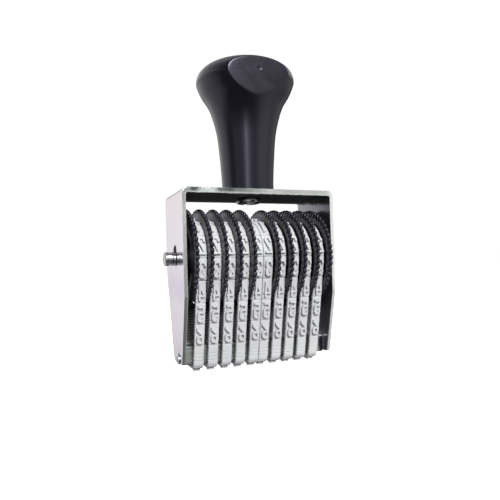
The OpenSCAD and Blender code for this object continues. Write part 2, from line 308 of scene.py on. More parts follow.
def ramp(nt, fac, stops, interp="LINEAR"):
    r = nt.nodes.new("ShaderNodeValToRGB")
    r.color_ramp.interpolation = interp
    el = r.color_ramp.elements
    el[0].position, el[0].color = stops[0][0], (*stops[0][1], 1)
    el[1].position, el[1].color = stops[-1][0], (*stops[-1][1], 1)
    for pos, col in stops[1:-1]:
        e = el.new(pos)
        e.color = (*col, 1)
    nt.links.new(fac, r.inputs["Fac"])
    return r.outputs["Color"]


def span(nt, fac, lo, hi, a=0.0, b=1.0):
    m = nt.nodes.new("ShaderNodeMapRange")
    m.inputs["From Min"].default_value = a
    m.inputs["From Max"].default_value = b
    m.inputs["To Min"].default_value = lo
    m.inputs["To Max"].default_value = hi
    nt.links.new(fac, m.inputs["Value"])
    return m.outputs["Result"]


def math_node(nt, op, a, b=None):
    m = nt.nodes.new("ShaderNodeMath")
    m.operation = op
    for k, v in enumerate((a, b)):
        if v is None:
            continue
        if isinstance(v, (int, float)):
            m.inputs[k].default_value = v
        else:
            nt.links.new(v, m.inputs[k])
    return m.outputs[0]


def bump(nt, bs, height, dist, strength=1.0, chain=None):
    b = nt.nodes.new("ShaderNodeBump")
    b.inputs["Strength"].default_value = strength
    b.inputs["Distance"].default_value = dist
    nt.links.new(height, b.inputs["Height"])
    if chain is not None:
        nt.links.new(chain, b.inputs["Normal"])
    nt.links.new(b.outputs["Normal"], bs.inputs["Normal"])
    return b.outputs["Normal"]


def mix_col(nt, fac, a, b):
    m = nt.nodes.new("ShaderNodeMix")
    m.data_type = "RGBA"
    fi = [s for s in m.inputs if s.name == "Factor" and s.type == "VALUE"][0]
    ca = [s for s in m.inputs if s.name == "A" and s.type == "RGBA"][0]
    cb = [s for s in m.inputs if s.name == "B" and s.type == "RGBA"][0]
    if isinstance(fac, float):
        fi.default_value = fac
    else:
        nt.links.new(fac, fi)
    for s, v in ((ca, a), (cb, b)):
        if isinstance(v, tuple):
            s.default_value = (*v, 1)
        else:
            nt.links.new(v, s)
    return [s for s in m.outputs if s.type == "RGBA"][0]


def attribute(nt, name):
    a = nt.nodes.new("ShaderNodeAttribute")
    a.attribute_name = name
    return a.outputs["Fac"]


def mat_handle():
    m, nt, bs = new_mat("handle_gloss_black")
    v = coords(nt)
    fine = noise(nt, v, 900, 4, 0.6)
    big = noise(nt, v, 60, 3, 0.5)
    col = ramp(nt, big, [(0.3, (0.0018, 0.0015, 0.0042)), (0.7, (0.0030, 0.0025, 0.0060))])
    nt.links.new(col, bs.inputs["Base Color"])
    r = math_node(nt, "ADD", span(nt, big, 0.13, 0.18, 0.3, 0.7), span(nt, fine, -0.02, 0.03, 0.3, 0.7))
    nt.links.new(r, bs.inputs["Roughness"])
    bs.inputs["IOR"].default_value = 1.54
    bs.inputs["Specular Tint"].default_value = (0.81, 0.80, 1.0, 1.0)
    ch = bump(nt, bs, noise(nt, v, 110, 2, 0.5), 0.00005, 0.5)
    bump(nt, bs, fine, 0.000004, 0.35, ch)
    return m


def mat_handle_flat():
    m, nt, bs = new_mat("handle_flat_matt")
    v = coords(nt)
    fine = noise(nt, v, 2600, 5, 0.65)
    big = noise(nt, v, 140, 3, 0.55, 0.6)
    col = ramp(nt, big, [(0.3, (0.0035, 0.0034, 0.0060)), (0.7, (0.0060, 0.0058, 0.0090))])
    nt.links.new(col, bs.inputs["Base Color"])
    nt.links.new(span(nt, big, 0.27, 0.36, 0.3, 0.7), bs.inputs["Roughness"])
    bs.inputs["IOR"].default_value = 1.46
    bs.inputs["Specular Tint"].default_value = (0.81, 0.80, 1.0, 1.0)
    sc = noise(nt, coords(nt, (1, 1, 14), (0, math.radians(22), 0)), 420, 3, 0.7)
    ch = bump(nt, bs, sc, 0.00001, 0.3)
    bump(nt, bs, fine, 0.00001, 0.5, ch)
    return m


def mat_plate(name, cols, rough, wave=0.35, inside=False):
    """Plated sheet: polished, with faint rolling marks and random tints; outside, the colour changes in bands by
    height; inside, painted shade and a painted reflection.
    """
    m, nt, bs = new_mat(name)
    v = coords(nt)
    big = noise(nt, v, 38, 3, 0.5, 0.8)
    fine = noise(nt, coords(nt, (1, 1, 0.12)), 1900, 4, 0.6)
    col = ramp(nt, big, [(0.3, cols[0]), (0.5, cols[1]), (0.7, cols[2])])
    tc = nt.nodes.new("ShaderNodeTexCoord")
    sep = nt.nodes.new("ShaderNodeSeparateXYZ")
    nt.links.new(tc.outputs["Object"], sep.inputs[0])
    z = math_node(nt, "ADD", sep.outputs["Z"], span(nt, noise(nt, v, 90, 2, 0.5), -0.002, 0.002, 0.3, 0.7))
    if inside:
        # painted shade under the web, and painted shade darkening the front of the inside
        zi = math_node(nt, "ADD", sep.outputs["Z"], span(nt, noise(nt, v, 260, 2, 0.5), -0.0003, 0.0003, 0.3, 0.7))
        slope = math_node(nt, "SUBTRACT", zi, math_node(nt, "MULTIPLY", sep.outputs["Y"], 0.107))
        under = span(nt, slope, 0.0, 1.0, 0.0446, 0.0454)
        ahead = span(nt, sep.outputs["Y"], 1.0, 0.0, -0.0085, 0.0085)
        ahead = math_node(nt, "MULTIPLY", ahead, span(nt, sep.outputs["Z"], 0.35, 0.85, 0.006, 0.034))
        # darker towards the front and lower down: painted shade
        col = mix_col(nt, ahead, col, (0.085, 0.08, 0.105))
        # near black under the web: painted shade
        col = mix_col(nt, under, col, (0.012, 0.0115, 0.017))
        # a light broken strip along the front lip under the web: painted reflection
        lip_reflection = math_node(nt, "MULTIPLY", span(nt, sep.outputs["Y"], 1.0, 0.0, -0.00905, -0.0085), under)
        lip_reflection_dashes = span(nt, noise(nt, coords(nt, (1, 0.05, 0.05)), 330, 3, 0.7), 0.0, 1.0, 0.44, 0.56)
        col = mix_col(nt, math_node(nt, "MULTIPLY", lip_reflection, lip_reflection_dashes), col, (0.62, 0.65, 0.66))
        nt.links.new(span(nt, under, 0.72, 0.0), bs.inputs["Metallic"])
    else:
        # the colour and brightness change in bands by height
        tint = ramp(nt, span(nt, z, 0.0, 1.0, 0.0, 0.047),
                    [(0.10, (0.80, 0.77, 0.83)), (0.20, (0.90, 0.86, 0.91)), (0.36, (0.93, 0.87, 0.93)), (0.46, (0.80, 0.73, 0.82)),
                     (0.53, (0.84, 0.78, 0.86)), (0.64, (0.97, 0.95, 0.99)), (0.90, (1.0, 0.96, 0.98))])
        mul = nt.nodes.new("ShaderNodeMix")
        mul.data_type = "RGBA"
        mul.blend_type = "MULTIPLY"
        mul.inputs[0].default_value = 1.0
        nt.links.new(col, mul.inputs[6])
        nt.links.new(tint, mul.inputs[7])
        col = mul.outputs[2]
        nt.links.new(span(nt, sep.outputs["X"], 1.0, 0.5, 0.0, 0.006), bs.inputs["Metallic"])
    nt.links.new(col, bs.inputs["Base Color"])
    r = math_node(nt, "ADD", span(nt, big, rough, rough + 0.08, 0.3, 0.7), span(nt, fine, -0.02, 0.05, 0.3, 0.7))
    if inside:
        r = math_node(nt, "ADD", r, span(nt, under, 0.0, 0.55))
    nt.links.new(r, bs.inputs["Roughness"])
    ch = bump(nt, bs, noise(nt, v, 70, 2, 0.5), 0.00006, wave)
    bump(nt, bs, fine, 0.000006, 0.4, ch)
    return m


def mat_plate_edge():
    """Sheared edge: grey break in the middle, lighter rims, blotched where the plating is thin; a painted highlight on
    the web's front edge, and the right cheek's edge painted almost white as a painted highlight.
    """
    m, nt, bs = new_mat("sheared_edge")
    v = coords(nt)
    st = noise(nt, v, 1500, 5, 0.7)
    big = noise(nt, v, 210, 3, 0.6)
    tc = nt.nodes.new("ShaderNodeTexCoord")
    sep = nt.nodes.new("ShaderNodeSeparateXYZ")
    nt.links.new(tc.outputs["Object"], sep.inputs[0])
    # worn towards the left end of the web and low down on the cheeks
    across = attribute(nt, "across")
    x = math_node(nt, "ADD", sep.outputs["X"], span(nt, big, -0.0012, 0.0012, 0.3, 0.7))
    left = span(nt, x, 1.0, 0.0, -0.0085, 0.0025)
    # a pale patch on the web's front edge: painted highlight
    web_edge_highlight = span(nt, math_node(nt, "ABSOLUTE", math_node(nt, "ADD", x, 0.0149)), 1.0, 0.0, 0.0008, 0.0026)
    low = span(nt, sep.outputs["Z"], 1.0, 0.0, 0.012, 0.034)
    top = span(nt, sep.outputs["Z"], 0.0, 1.0, 0.0425, 0.0455)
    worn = math_node(nt, "MULTIPLY", math_node(nt, "MULTIPLY", left, top), span(nt, across, 0.35, 1.0, -0.75, 0.05))
    worn = math_node(nt, "MAXIMUM", worn, math_node(nt, "MULTIPLY", low, 0.6))
    worn = math_node(nt, "MULTIPLY", worn, span(nt, big, 0.35, 1.0, 0.34, 0.52))
    rim = math_node(nt, "SUBTRACT", 1.0, span(nt, across, 0.0, 1.0, -0.85, -0.35))
    body = mix_col(nt, span(nt, big, 0.0, 1.0, 0.25, 0.75), (0.44, 0.465, 0.435), (0.62, 0.645, 0.61))
    body = mix_col(nt, worn, body, (0.09, 0.098, 0.103))
    body = mix_col(nt, math_node(nt, "MULTIPLY", web_edge_highlight, top), body, (0.66, 0.69, 0.70))
    body = mix_col(nt, math_node(nt, "MULTIPLY", rim, span(nt, st, 0.35, 0.9, 0.35, 0.65)), body, (0.72, 0.74, 0.72))
    # the right cheek's cut edge is painted almost white: painted highlight
    body = mix_col(nt, span(nt, sep.outputs["X"], 0.0, 0.75, 0.0195, 0.0212), body, (0.93, 0.96, 0.92))
    nt.links.new(body, bs.inputs["Base Color"])
    nt.links.new(span(nt, sep.outputs["Y"], 1.0, 0.35, 0.001, 0.003), bs.inputs["Metallic"])
    nt.links.new(span(nt, st, 0.34, 0.24, 0.3, 0.7), bs.inputs["Roughness"])
    bump(nt, bs, st, 0.00003, 0.5)
    return m


def mat_steel(name, lo, hi, rough=(0.2, 0.34), stretch=(1, 1, 1), scale=900, dist=0.00001):
    m, nt, bs = new_mat(name)
    big = noise(nt, coords(nt), 120, 3, 0.55)
    fine = noise(nt, coords(nt, stretch), scale, 4, 0.65)
    nt.links.new(ramp(nt, big, [(0.3, lo), (0.7, hi)]), bs.inputs["Base Color"])
    bs.inputs["Metallic"].default_value = 1.0
    nt.links.new(span(nt, fine, rough[0], rough[1], 0.3, 0.7), bs.inputs["Roughness"])
    bump(nt, bs, fine, dist, 0.6)
    return m


def mat_wheel(name="wheel_satin_black", rough=0.40, lift=1.0):
    m, nt, bs = new_mat(name)
    v = coords(nt)
    fine = noise(nt, v, 1800, 4, 0.6)
    big = noise(nt, v, 150, 3, 0.5)
    col = ramp(nt, big, [(0.3, (0.0022 * lift, 0.0018 * lift, 0.0042 * lift)), (0.7, (0.0050 * lift, 0.0042 * lift, 0.0078 * lift))])
    nt.links.new(col, bs.inputs["Base Color"])
    r = math_node(nt, "ADD", span(nt, big, rough, rough + 0.08, 0.3, 0.7), span(nt, fine, -0.04, 0.05, 0.3, 0.7))
    nt.links.new(r, bs.inputs["Roughness"])
    bs.inputs["IOR"].default_value = 1.54
    bs.inputs["Specular Tint"].default_value = (0.81, 0.80, 1.0, 1.0)
    bump(nt, bs, fine, 0.000012, 0.5)
    return m


def mat_band():
    m, nt, bs = new_mat("band_rubber_grey")
    v = coords(nt)
    big = noise(nt, v, 90, 3, 0.5)
    fine = noise(nt, v, 2200, 4, 0.6)
    col = ramp(nt, big, [(0.3, (0.535, 0.54, 0.55)), (0.7, (0.61, 0.615, 0.62))])
    # darker in the grooves, on the band's inside and sides and at the foot of each character: painted shade, with some
    # stain in the grooves
    stain_and_shade = math_node(nt, "MULTIPLY", attribute(nt, "cavity"), span(nt, noise(nt, v, 420, 3, 0.6), 0.5, 1.0, 0.3, 0.7))
    col = mix_col(nt, math_node(nt, "MULTIPLY", stain_and_shade, 0.85), col, (0.19, 0.195, 0.205))
    nt.links.new(col, bs.inputs["Base Color"])
    nt.links.new(span(nt, fine, 0.58, 0.74, 0.3, 0.7), bs.inputs["Roughness"])
    bs.inputs["IOR"].default_value = 1.45
    bs.inputs["Specular IOR Level"].default_value = 0.3
    ch = bump(nt, bs, noise(nt, v, 300, 2, 0.5), 0.00003, 0.4)
    bump(nt, bs, fine, 0.000012, 0.5, ch)
    return m


def mat_bridge():
    """Grey bar; its blade is painted dark in stripes above a low line as painted shade, its right end is painted dark
    as shade, and its right corner carries a painted glint.
    """
    m, nt, bs = new_mat("bridge_bar")
    v = coords(nt)
    big = noise(nt, v, 160, 4, 0.6, 0.5)
    fine = noise(nt, coords(nt, (0.1, 1, 1)), 1300, 4, 0.65)
    tc = nt.nodes.new("ShaderNodeTexCoord")
    sep = nt.nodes.new("ShaderNodeSeparateXYZ")
    nt.links.new(tc.outputs["Object"], sep.inputs[0])
    h = math_node(nt, "ADD", sep.outputs["Z"], span(nt, big, -0.0012, 0.0012, 0.3, 0.7))
    # above this height the blade is painted dark in stripes: painted shade
    blade_shade = span(nt, h, 0.0, 1.0, 0.0062, 0.0076)
    clean = ramp(nt, fine, [(0.3, (0.30, 0.32, 0.30)), (0.7, (0.46, 0.48, 0.45))])
    comb = math_node(nt, "SINE", math_node(nt, "MULTIPLY", sep.outputs["Z"], 2 * math.pi / 0.00075))
    # the bar's right end beside the cheek is painted dark: painted shade
    end = span(nt, math_node(nt, "ADD", sep.outputs["X"], span(nt, big, -0.0003, 0.0003, 0.3, 0.7)), 0.0, 1.0, 0.0190, 0.0196)
    clean = mix_col(nt, end, clean, (0.050, 0.046, 0.066))
    # a light line down the bar's right corner and a glint on its top edge there: painted highlight
    corner = math_node(nt, "MAXIMUM", span(nt, sep.outputs["X"], 0.0, 0.7, 0.02035, 0.02045),
                       math_node(nt, "MULTIPLY", end, span(nt, sep.outputs["Z"], 0.0, 1.0, 0.00632, 0.00645)))
    blade_shade_col = mix_col(nt, span(nt, comb, 0.0, 1.0, -0.4, 0.4), (0.040, 0.038, 0.046), (0.115, 0.112, 0.122))
    low = span(nt, sep.outputs["Z"], 1.0, 0.0, 0.00675, 0.0069)
    corner = math_node(nt, "MULTIPLY", corner, low)
    nt.links.new(mix_col(nt, corner, mix_col(nt, blade_shade, clean, blade_shade_col), (0.94, 0.92, 0.96)), bs.inputs["Base Color"])
    nt.links.new(math_node(nt, "MAXIMUM", span(nt, blade_shade, 1.0, 0.0), corner), bs.inputs["Metallic"])
    nt.links.new(math_node(nt, "ADD", span(nt, fine, 0.26, 0.42, 0.3, 0.7), span(nt, blade_shade, 0.0, 0.2)), bs.inputs["Roughness"])
    bump(nt, bs, fine, 0.00002, 0.6)
    return m


M_HANDLE, M_FLAT = mat_handle(), mat_handle_flat()
M_PLATE = mat_plate("plated_sheet", ((0.80, 0.765, 0.84), (0.83, 0.80, 0.845), (0.85, 0.80, 0.825)), 0.13)
# inside faces: the same plating painted much darker, which is painted shade
M_INNER_SHADED = mat_plate("plated_sheet_inside_painted_shade", ((0.31, 0.30, 0.34), (0.35, 0.34, 0.38), (0.39, 0.375, 0.42)), 0.18, inside=True)
M_EDGE = mat_plate_edge()
M_WHEEL, M_BAND = mat_wheel(), mat_band()
M_WHEEL_FACE = mat_wheel("wheel_face_polished", 0.24, 1.0)
M_BRIDGE = mat_bridge()
M_RIVET = mat_steel("riveted_tenon", (0.34, 0.35, 0.37), (0.66, 0.66, 0.70), (0.2, 0.34), (1, 1, 1), 1300, 0.00002)
# near black in the axle's grooves and the rivets' rings: stain, and painted shade
M_GROOVE_STAIN_SHADE = mat_steel("groove_stain_and_shade", (0.012, 0.011, 0.016), (0.05, 0.048, 0.06), (0.45, 0.6), (1, 1, 1), 1300, 0.00002)
M_AXLE = mat_steel("axle_turned", (0.36, 0.36, 0.38), (0.46, 0.46, 0.48), (0.17, 0.22), (1, 0.15, 0.15), 3000, 0.000003)
M_SCREW = mat_steel("screw_zinc", (0.14, 0.145, 0.15), (0.40, 0.41, 0.42), (0.24, 0.38), (1, 1, 1), 900, 0.00001)
M_SPACER = mat_steel("washer_steel", (0.22, 0.22, 0.24), (0.32, 0.32, 0.34), (0.42, 0.55), (1, 1, 1), 1100, 0.00001)
M_SPACER.node_tree.nodes["Principled BSDF"].inputs["Metallic"].default_value = 0.35


# ------------------------------------------------------------------ handle
def bez(p, t):
    p = np.asarray(p, float)
    t = np.asarray(t)[:, None]
    return (1 - t) ** 3 * p[0] + 3 * (1 - t) ** 2 * t * p[1] + 3 * (1 - t) * t * t * p[2] + t ** 3 * p[3]


def build_handle():
    neck = bez([(NECK_R, WEB_TOP), (NECK_R - 0.18, WEB_TOP + 4), (7.92, 60.3), (8.19, 63.9)], np.linspace(0, 1, 31))
    flare = bez([(8.19, 63.9), (10.8, 75.5), (11.6, 71.7), (KNOB_R, KNOB_Z)], np.linspace(0, 1, 71))
    e = 2.4
    a = np.linspace(0, 1, 92) ** 1.15 * math.pi / 2
    dome = np.stack([KNOB_R * np.maximum(np.cos(a), 0) ** (2 / e),
                     KNOB_Z + (KNOB_TOP - KNOB_Z) * np.sin(a) ** (2 / e)], -1)
    dome[-1, 0] = 0
    prof = np.concatenate([[(2.2, WEB_TOP), (NECK_R - 0.35, WEB_TOP), (NECK_R - 0.1, WEB_TOP + 0.06)],
                           [(NECK_R - 0.01, WEB_TOP + 0.3)], neck[1:], flare[1:-1], dome])
    # resample evenly, then add points round the parting line
    d = np.concatenate([[0], np.cumsum(np.linalg.norm(np.diff(prof, axis=0), axis=1))])
    s_seam = d[np.argmin(np.abs(prof[:, 1] - KNOB_Z))]
    s = np.concatenate([d[:5], np.arange(d[5], d[-1] - 0.1, 0.24), [d[-1]]])
    s = s[np.abs(s - s_seam) > 0.2]
    s = np.sort(np.concatenate([s, s_seam + np.array([-0.17, -0.10, -0.06, -0.03, 0.0, 0.03, 0.06, 0.10, 0.17])]))
    r, z = np.interp(s, d, prof[:, 0]), np.interp(s, d, prof[:, 1])
    ker = np.exp(-0.5 * ((s[:, None] - s[None, :]) / 1.9) ** 2) * np.gradient(s)[None, :]
    soft_r = (ker @ r) / ker.sum(1)
    soft_z = (ker @ z) / ker.sum(1)
    mask = np.exp(-((z - 63.9) / 3.6) ** 4)
    r, z = r + mask * (soft_r - r), z + mask * (soft_z - z)
    dr, dz = np.gradient(r, s), np.gradient(z, s)
    nl = np.hypot(dr, dz)
    nr, nz = dz / nl, -dr / nl
    groove = np.exp(-((s - s_seam) / 0.05) ** 2)
    segs = 384
    ang = (np.arange(segs) + 0.5) * 2 * math.pi / segs
    verts, fronts = [], []
    k = 0.2
    for i in range(len(s)):
        rr = max(r[i], 0.0)
        x, y = rr * np.cos(ang), rr * np.sin(ang)
        zz = np.full(segs, z[i])
        yp = -FLAT_Y + (zz - 75.6) * math.tan(FLAT_LEAN)
        yn = 0.5 * (y + yp + np.sqrt((y - yp) ** 2 + k * k))
        yn = np.where(y > yp + 2.5, y, yn)
        front = y < yp - 0.02
        # the parting line is cut in along the surface normal
        g = groove[i] * np.where(front, 0.012, 0.10)
        x = x - np.where(front, 0, g * nr[i] * np.cos(ang))
        yn = yn - np.where(front, -g, g * nr[i] * np.sin(ang))
        zz = zz - np.where(front, 0, g * nz[i])
        verts.append(np.stack([x, yn, zz], -1))
        fronts.append(front)
    v = np.concatenate(verts)
    fr = np.concatenate(fronts)
    f = grid_faces(len(s), segs, False, True)
    # moulded gate scar and a faint ring on the flat
    vx, vy, vz = v[:, 0], v[:, 1], v[:, 2]
    rad = np.hypot((vx - 0.35) * 0.8, vz - KNOB_Z - 1.1)
    v[:, 1] = np.where(fr, vy + 0.07 * np.exp(-(rad / 0.45) ** 4) - 0.012 * np.exp(-((rad - 0.8) / 0.22) ** 2), vy)
    ct, st = math.cos(FLAT_TURN), math.sin(FLAT_TURN)
    v[:, 0], v[:, 1] = v[:, 0] * ct - v[:, 1] * st, v[:, 0] * st + v[:, 1] * ct
    v[:, 0] += HANDLE_X
    idx = (fr[f].sum(1) >= 3).astype(int)
    # close the top and the underside
    n = len(s)
    top = list(range((n - 1) * segs, n * segs))
    bot = list(range(segs))[::-1]
    faces = [list(q) for q in f] + [top, bot]
    ob = make_object("handle_knob", v, faces, [M_HANDLE, M_FLAT], np.concatenate([idx, [0, 0]]), True)
    bm = bmesh.new()
    bm.from_mesh(ob.data)
    bmesh.ops.remove_doubles(bm, verts=bm.verts, dist=2e-8)
    bmesh.ops.recalc_face_normals(bm, faces=bm.faces)
    bm.to_mesh(ob.data)
    bm.free()
    ob.data.polygons.foreach_set("use_smooth", [True] * len(ob.data.polygons))
    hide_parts("handle")
    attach(ob, STAMP)
    return ob


# ------------------------------------------------------------------ frame
def arc(cx, cy, r, a0, a1, n):
    t = np.linspace(math.radians(a0), math.radians(a1), n)
    return np.stack([cx + r * np.cos(t), cy + r * np.sin(t)], -1)


R_OUT = 1.6
R_IN = R_OUT - SHEET
R_MID = (R_OUT + R_IN) / 2
WEB_FLAT = OUTER_X - R_OUT            # half width of the web's flat
BEND_L = R_MID * math.pi / 2
CHEEK_TOP = WEB_LOW - R_IN            # height where the cheek's inside starts


def unroll_z(z):
    """Distance from the middle of the web to height z on a cheek."""
    return WEB_FLAT + BEND_L + (CHEEK_TOP - z)


def cheek_corner(p0, p1, foot, r):
    """Centre and start angle of the arc between a slanting edge and the foot."""
    p0, p1 = np.array(p0), np.array(p1)
    u = (p1 - p0) / np.linalg.norm(p1 - p0)
    sgn = -1 if p0[0] < 0 else 1
    n = np.array([-u[1], u[0]]) * 1.0
    if n[0] * sgn < 0:
        n = -n
    k = ((foot + r - p0[1]) + r * n[1]) / u[1]
    c = p0 + k * u - r * n
    return c, n


def build_frame():
    foot, rf, rr = 2.3, 1.1, 1.8
    cf, nf = cheek_corner((-FRONT, 19.8), (-4.95, foot), foot, rf)
    cr, nr = cheek_corner((REAR, 24.3), (3.78, foot), foot, rr)
    af = math.degrees(math.atan2(nf[1], nf[0])) % 360
    ar = math.degrees(math.atan2(nr[1], nr[0])) % 360
    # right cheek, from the front top corner down and back up the rear, as (y, z)
    side = [(-FRONT, 19.8)]
    side += [tuple(p) for p in arc(cf[0], cf[1], rf, af, 270, 12)]
    side += [tuple(p) for p in arc(cr[0], cr[1], rr, 270, ar, 14)]
    side += [(REAR, 24.3)]
    right = [(unroll_z(z), y) for y, z in side]
    left = [(-u, y) for u, y in right][::-1]
    outline = np.array(right + left)
    holes = []
    jr = 1.85
    for sg in (1, -1):
        slot = [(sg * unroll_z(z), y) for y, z in
                list(map(tuple, arc(0, AXLE_Z, jr, 180, 360, 25))) + list(map(tuple, arc(0, AXLE_Z + 1.77, jr, 0, 180, 25)))]
        holes.append(np.array(slot))
        holes.append(np.array([(sg * unroll_z(z), y) for y, z in map(tuple, arc(-1.35, 3.78, 1.2, 0, 350, 36))]))
    holes.append(arc(HANDLE_X, 0, 1.9, 0, 350, 36))
    bm = flat_solid([outline] + holes, SHEET, 0.09, 2)
    cuts = []
    for sg in (1, -1):
        cuts += [sg * (WEB_FLAT + BEND_L * t) for t in np.linspace(0, 1, 11)]
        cuts += [sg * unroll_z(z) for z in (40, 34, 26, 20, 14, 8)]
    cuts += [-14, -7, 7, 14]
    cut_planes(bm, 0, cuts)
    cut_planes(bm, 1, [-5, 0, 5])
    bm.normal_update()
    v, f = bm_arrays(bm)
    idx = [2 if abs(fc.normal.z) < 0.5 else (0 if fc.normal.z > 0 else 1) for fc in bm.faces]
    bm.free()
    # the flat pattern is bent into the web, the bends and the cheeks
    u, y, h = v[:, 0].copy(), v[:, 1].copy(), v[:, 2].copy()
    su = np.sign(u)
    au = np.abs(u)
    out = np.zeros_like(v)
    flat = au <= WEB_FLAT
    bend = (au > WEB_FLAT) & (au < WEB_FLAT + BEND_L)
    side_m = au >= WEB_FLAT + BEND_L
    zc = WEB_LOW + SHEET / 2
    out[flat] = np.stack([u, y, zc + h], -1)[flat]
    th = (au - WEB_FLAT) / R_MID
    out[bend] = np.stack([su * (WEB_FLAT + (R_MID + h) * np.sin(th)), y, CHEEK_TOP + (R_MID + h) * np.cos(th)], -1)[bend]
    out[side_m] = np.stack([su * (WEB_FLAT + R_MID + h), y, CHEEK_TOP - (au - WEB_FLAT - BEND_L)], -1)[side_m]
    # the web is thicker than the cheeks: its outside lies higher
    fade = np.clip(1 - (au - WEB_FLAT - BEND_L) / 5.6, 0, 1)
    out[:, 2] += (WEB_T - SHEET) * (h / SHEET + 0.5) * fade
    ob = make_object("frame_sheet", out, f, [M_PLATE, M_INNER_SHADED, M_EDGE], idx, True, 50)
    at = ob.data.attributes.new("across", "FLOAT", "POINT")
    at.data.foreach_set("value", (h / (SHEET / 2)).astype(np.float32))
    outward(ob)
    weighted(ob)
    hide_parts("frame")
    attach(ob, STAMP)
    return ob


# ------------------------------------------------------------------ small metal pieces
def build_axle():
    end = OUTER_X + 2.9
    jr, br = 1.8, 2.25
    half = [(0, end - 0.03), (0.7, end), (1.45, end - 0.01), (1.62, end - 0.06), (1.74, end - 0.16), (jr, end - 0.34),
            (jr, OUTER_X + 0.98), (jr - 0.12, OUTER_X + 0.94), (jr - 0.12, OUTER_X + 0.78), (jr, OUTER_X + 0.74),
            (jr, OUTER_X + 0.16), (jr - 0.12, OUTER_X + 0.12), (jr - 0.12, OUTER_X - 0.06), (jr, OUTER_X - 0.1),
            (jr, INNER_X - 0.1), (br - 0.15, INNER_X - 0.1), (br, INNER_X - 0.25)]
    prof = [(r, -h) for r, h in half] + [(br, x) for x in (-10, 0, 10)] + [(r, h) for r, h in half[::-1]]
    grooves = {7, 8, 11, 12}
    top = len(prof) - 2
    ob = lathe("axle_pin", prof, [M_AXLE, M_GROOVE_STAIN_SHADE], 96, "X", (0, 0, AXLE_Z),
               mat_of=lambda k: int(k in grooves or top - k in grooves), sharp=40)
    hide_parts("axle")
    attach(ob, STAMP)
    for name, sx in (("spacer_left", -1), ("spacer_right", 1)):
        w = SIDE_GAP - sx * PACK_X - 0.1
        x0, x1 = INNER_X - 0.05 - w, INNER_X - 0.05
        pr = round_profile([(2.3, x0), (4.05, x0), (4.05, (x0 + x1) / 2 - 0.04), (3.97, (x0 + x1) / 2),
                            (4.05, (x0 + x1) / 2 + 0.04), (4.05, x1), (2.3, x1), (2.3, x0)],
                           [0, 0.15, 0, 0, 0, 0.15, 0, 0], 4)
        sp = lathe(name + "_washer", [(r, sx * h) for r, h in pr], [M_SPACER], 80, "X", (0, 0, AXLE_Z), sharp=40)
        bm = bmesh.new()
        bm.from_mesh(sp.data)
        bmesh.ops.remove_doubles(bm, verts=bm.verts, dist=1e-7)
        bmesh.ops.recalc_face_normals(bm, faces=bm.faces)
        bm.to_mesh(sp.data)
        bm.free()
        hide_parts(name)
        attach(sp, STAMP)


def build_bridge():
    y0, y1, z0, z1, r = -2.97, 2.61, RELIEF + 2 * HALF_B + 0.06, 6.75, 0.8
    # the blade is a dark sheet standing where the bands' rear runs are seen in shade through the gaps: painted shade
    b0, b1, bb, bt = 1.4, 2.6, 5.5, AXLE_Z - WHEEL_R - 0.27   # the blade, and how far its top is folded back
    sec = []
    sec += [tuple(p) for p in arc(y1 - r, z0 + r, r, -90, 0, 9)]
    sec += [(y1, z1 - 0.02), (b1, z1)]
    sec += [(b1, z) for z in (8.6, 10.4, 12.2, 14.0)]
    sec += [tuple(p) for p in arc(b1 + 0.25, bt - 1.15, 0.25, 180, 106, 5)]
    sec += [tuple(p) for p in arc(bb - 0.3, bt + 0.34, 0.3, 286, 360, 6)]
    sec += [tuple(p) for p in arc(bb - 0.12, bt + 1.04, 0.12, 0, 106, 6)]
    sec += [tuple(p) for p in arc(b0 + 0.5, bt - 0.42, 0.5, 106, 180, 8)]
    sec += [(b0, z) for z in (14.0, 12.2, 10.4, 8.6)]
    sec += [tuple(p) for p in arc(b0 - 0.3, z1 + 0.3, 0.3, 360, 270, 5)]
    for cx, cz, rad, a0 in ((y0 + 0.22, z1 - 0.22, 0.22, 90), (y0 + r, z0 + r, r, 180)):
        sec += [tuple(p) for p in arc(cx, cz, rad, a0, a0 + 90, 9)]
    sec = np.array(sec)
    t = np.roll(sec, -1, 0) - np.roll(sec, 1, 0)
    nrm = np.stack([t[:, 1], -t[:, 0]], -1) / np.linalg.norm(t, axis=1)[:, None]
    half = INNER_X - 0.05
    rings = []
    stations = [(-half, 0.14), (-half + 0.05, 0.05), (-half + 0.16, 0.0)] + [(x, 0.0) for x in np.linspace(-half + 1, half - 1, 30)] + \
               [(half - 0.16, 0.0), (half - 0.05, 0.05), (half, 0.14)]
    for x, inset in stations:
        q = sec - nrm * inset
        rings.append(np.stack([np.full(len(q), x), q[:, 0], q[:, 1]], -1))
    v = np.concatenate(rings)
    m = len(sec)
    f = [list(q) for q in grid_faces(len(rings), m, False, True)]
    f += [list(range(m)), list(range((len(rings) - 1) * m, len(rings) * m))[::-1]]
    bar = make_object("bar", v, f, [M_BRIDGE], None, True, 40)
    outward(bar)
    parts = [bar]
    for sx in (-1, 1):
        pr = [(0, INNER_X - 1), (1.15, INNER_X - 1), (1.15, OUTER_X - 0.1), (1.42, OUTER_X + 0.01), (1.42, OUTER_X + 0.03),
              (1.2, OUTER_X + 0.05), (1.22, OUTER_X + 0.3), (1.14, OUTER_X + 0.44), (1.0, OUTER_X + 0.48), (0.74, OUTER_X + 0.44),
              (0.6, OUTER_X + 0.32), (0.45, OUTER_X + 0.36), (0.25, OUTER_X + 0.41), (0, OUTER_X + 0.42)]
        parts.append(lathe("tenon", [(r_, sx * h_) for r_, h_ in pr], [M_RIVET, M_GROOVE_STAIN_SHADE], 64, "X", (0, -1.7, 3.5),
                           mat_of=lambda k: int(k in (3, 4, 9, 10)), sharp=50))
    ob = join("bridge_bar_riveted", parts)
    weighted(ob)
    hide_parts("bridge")
    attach(ob, STAMP)


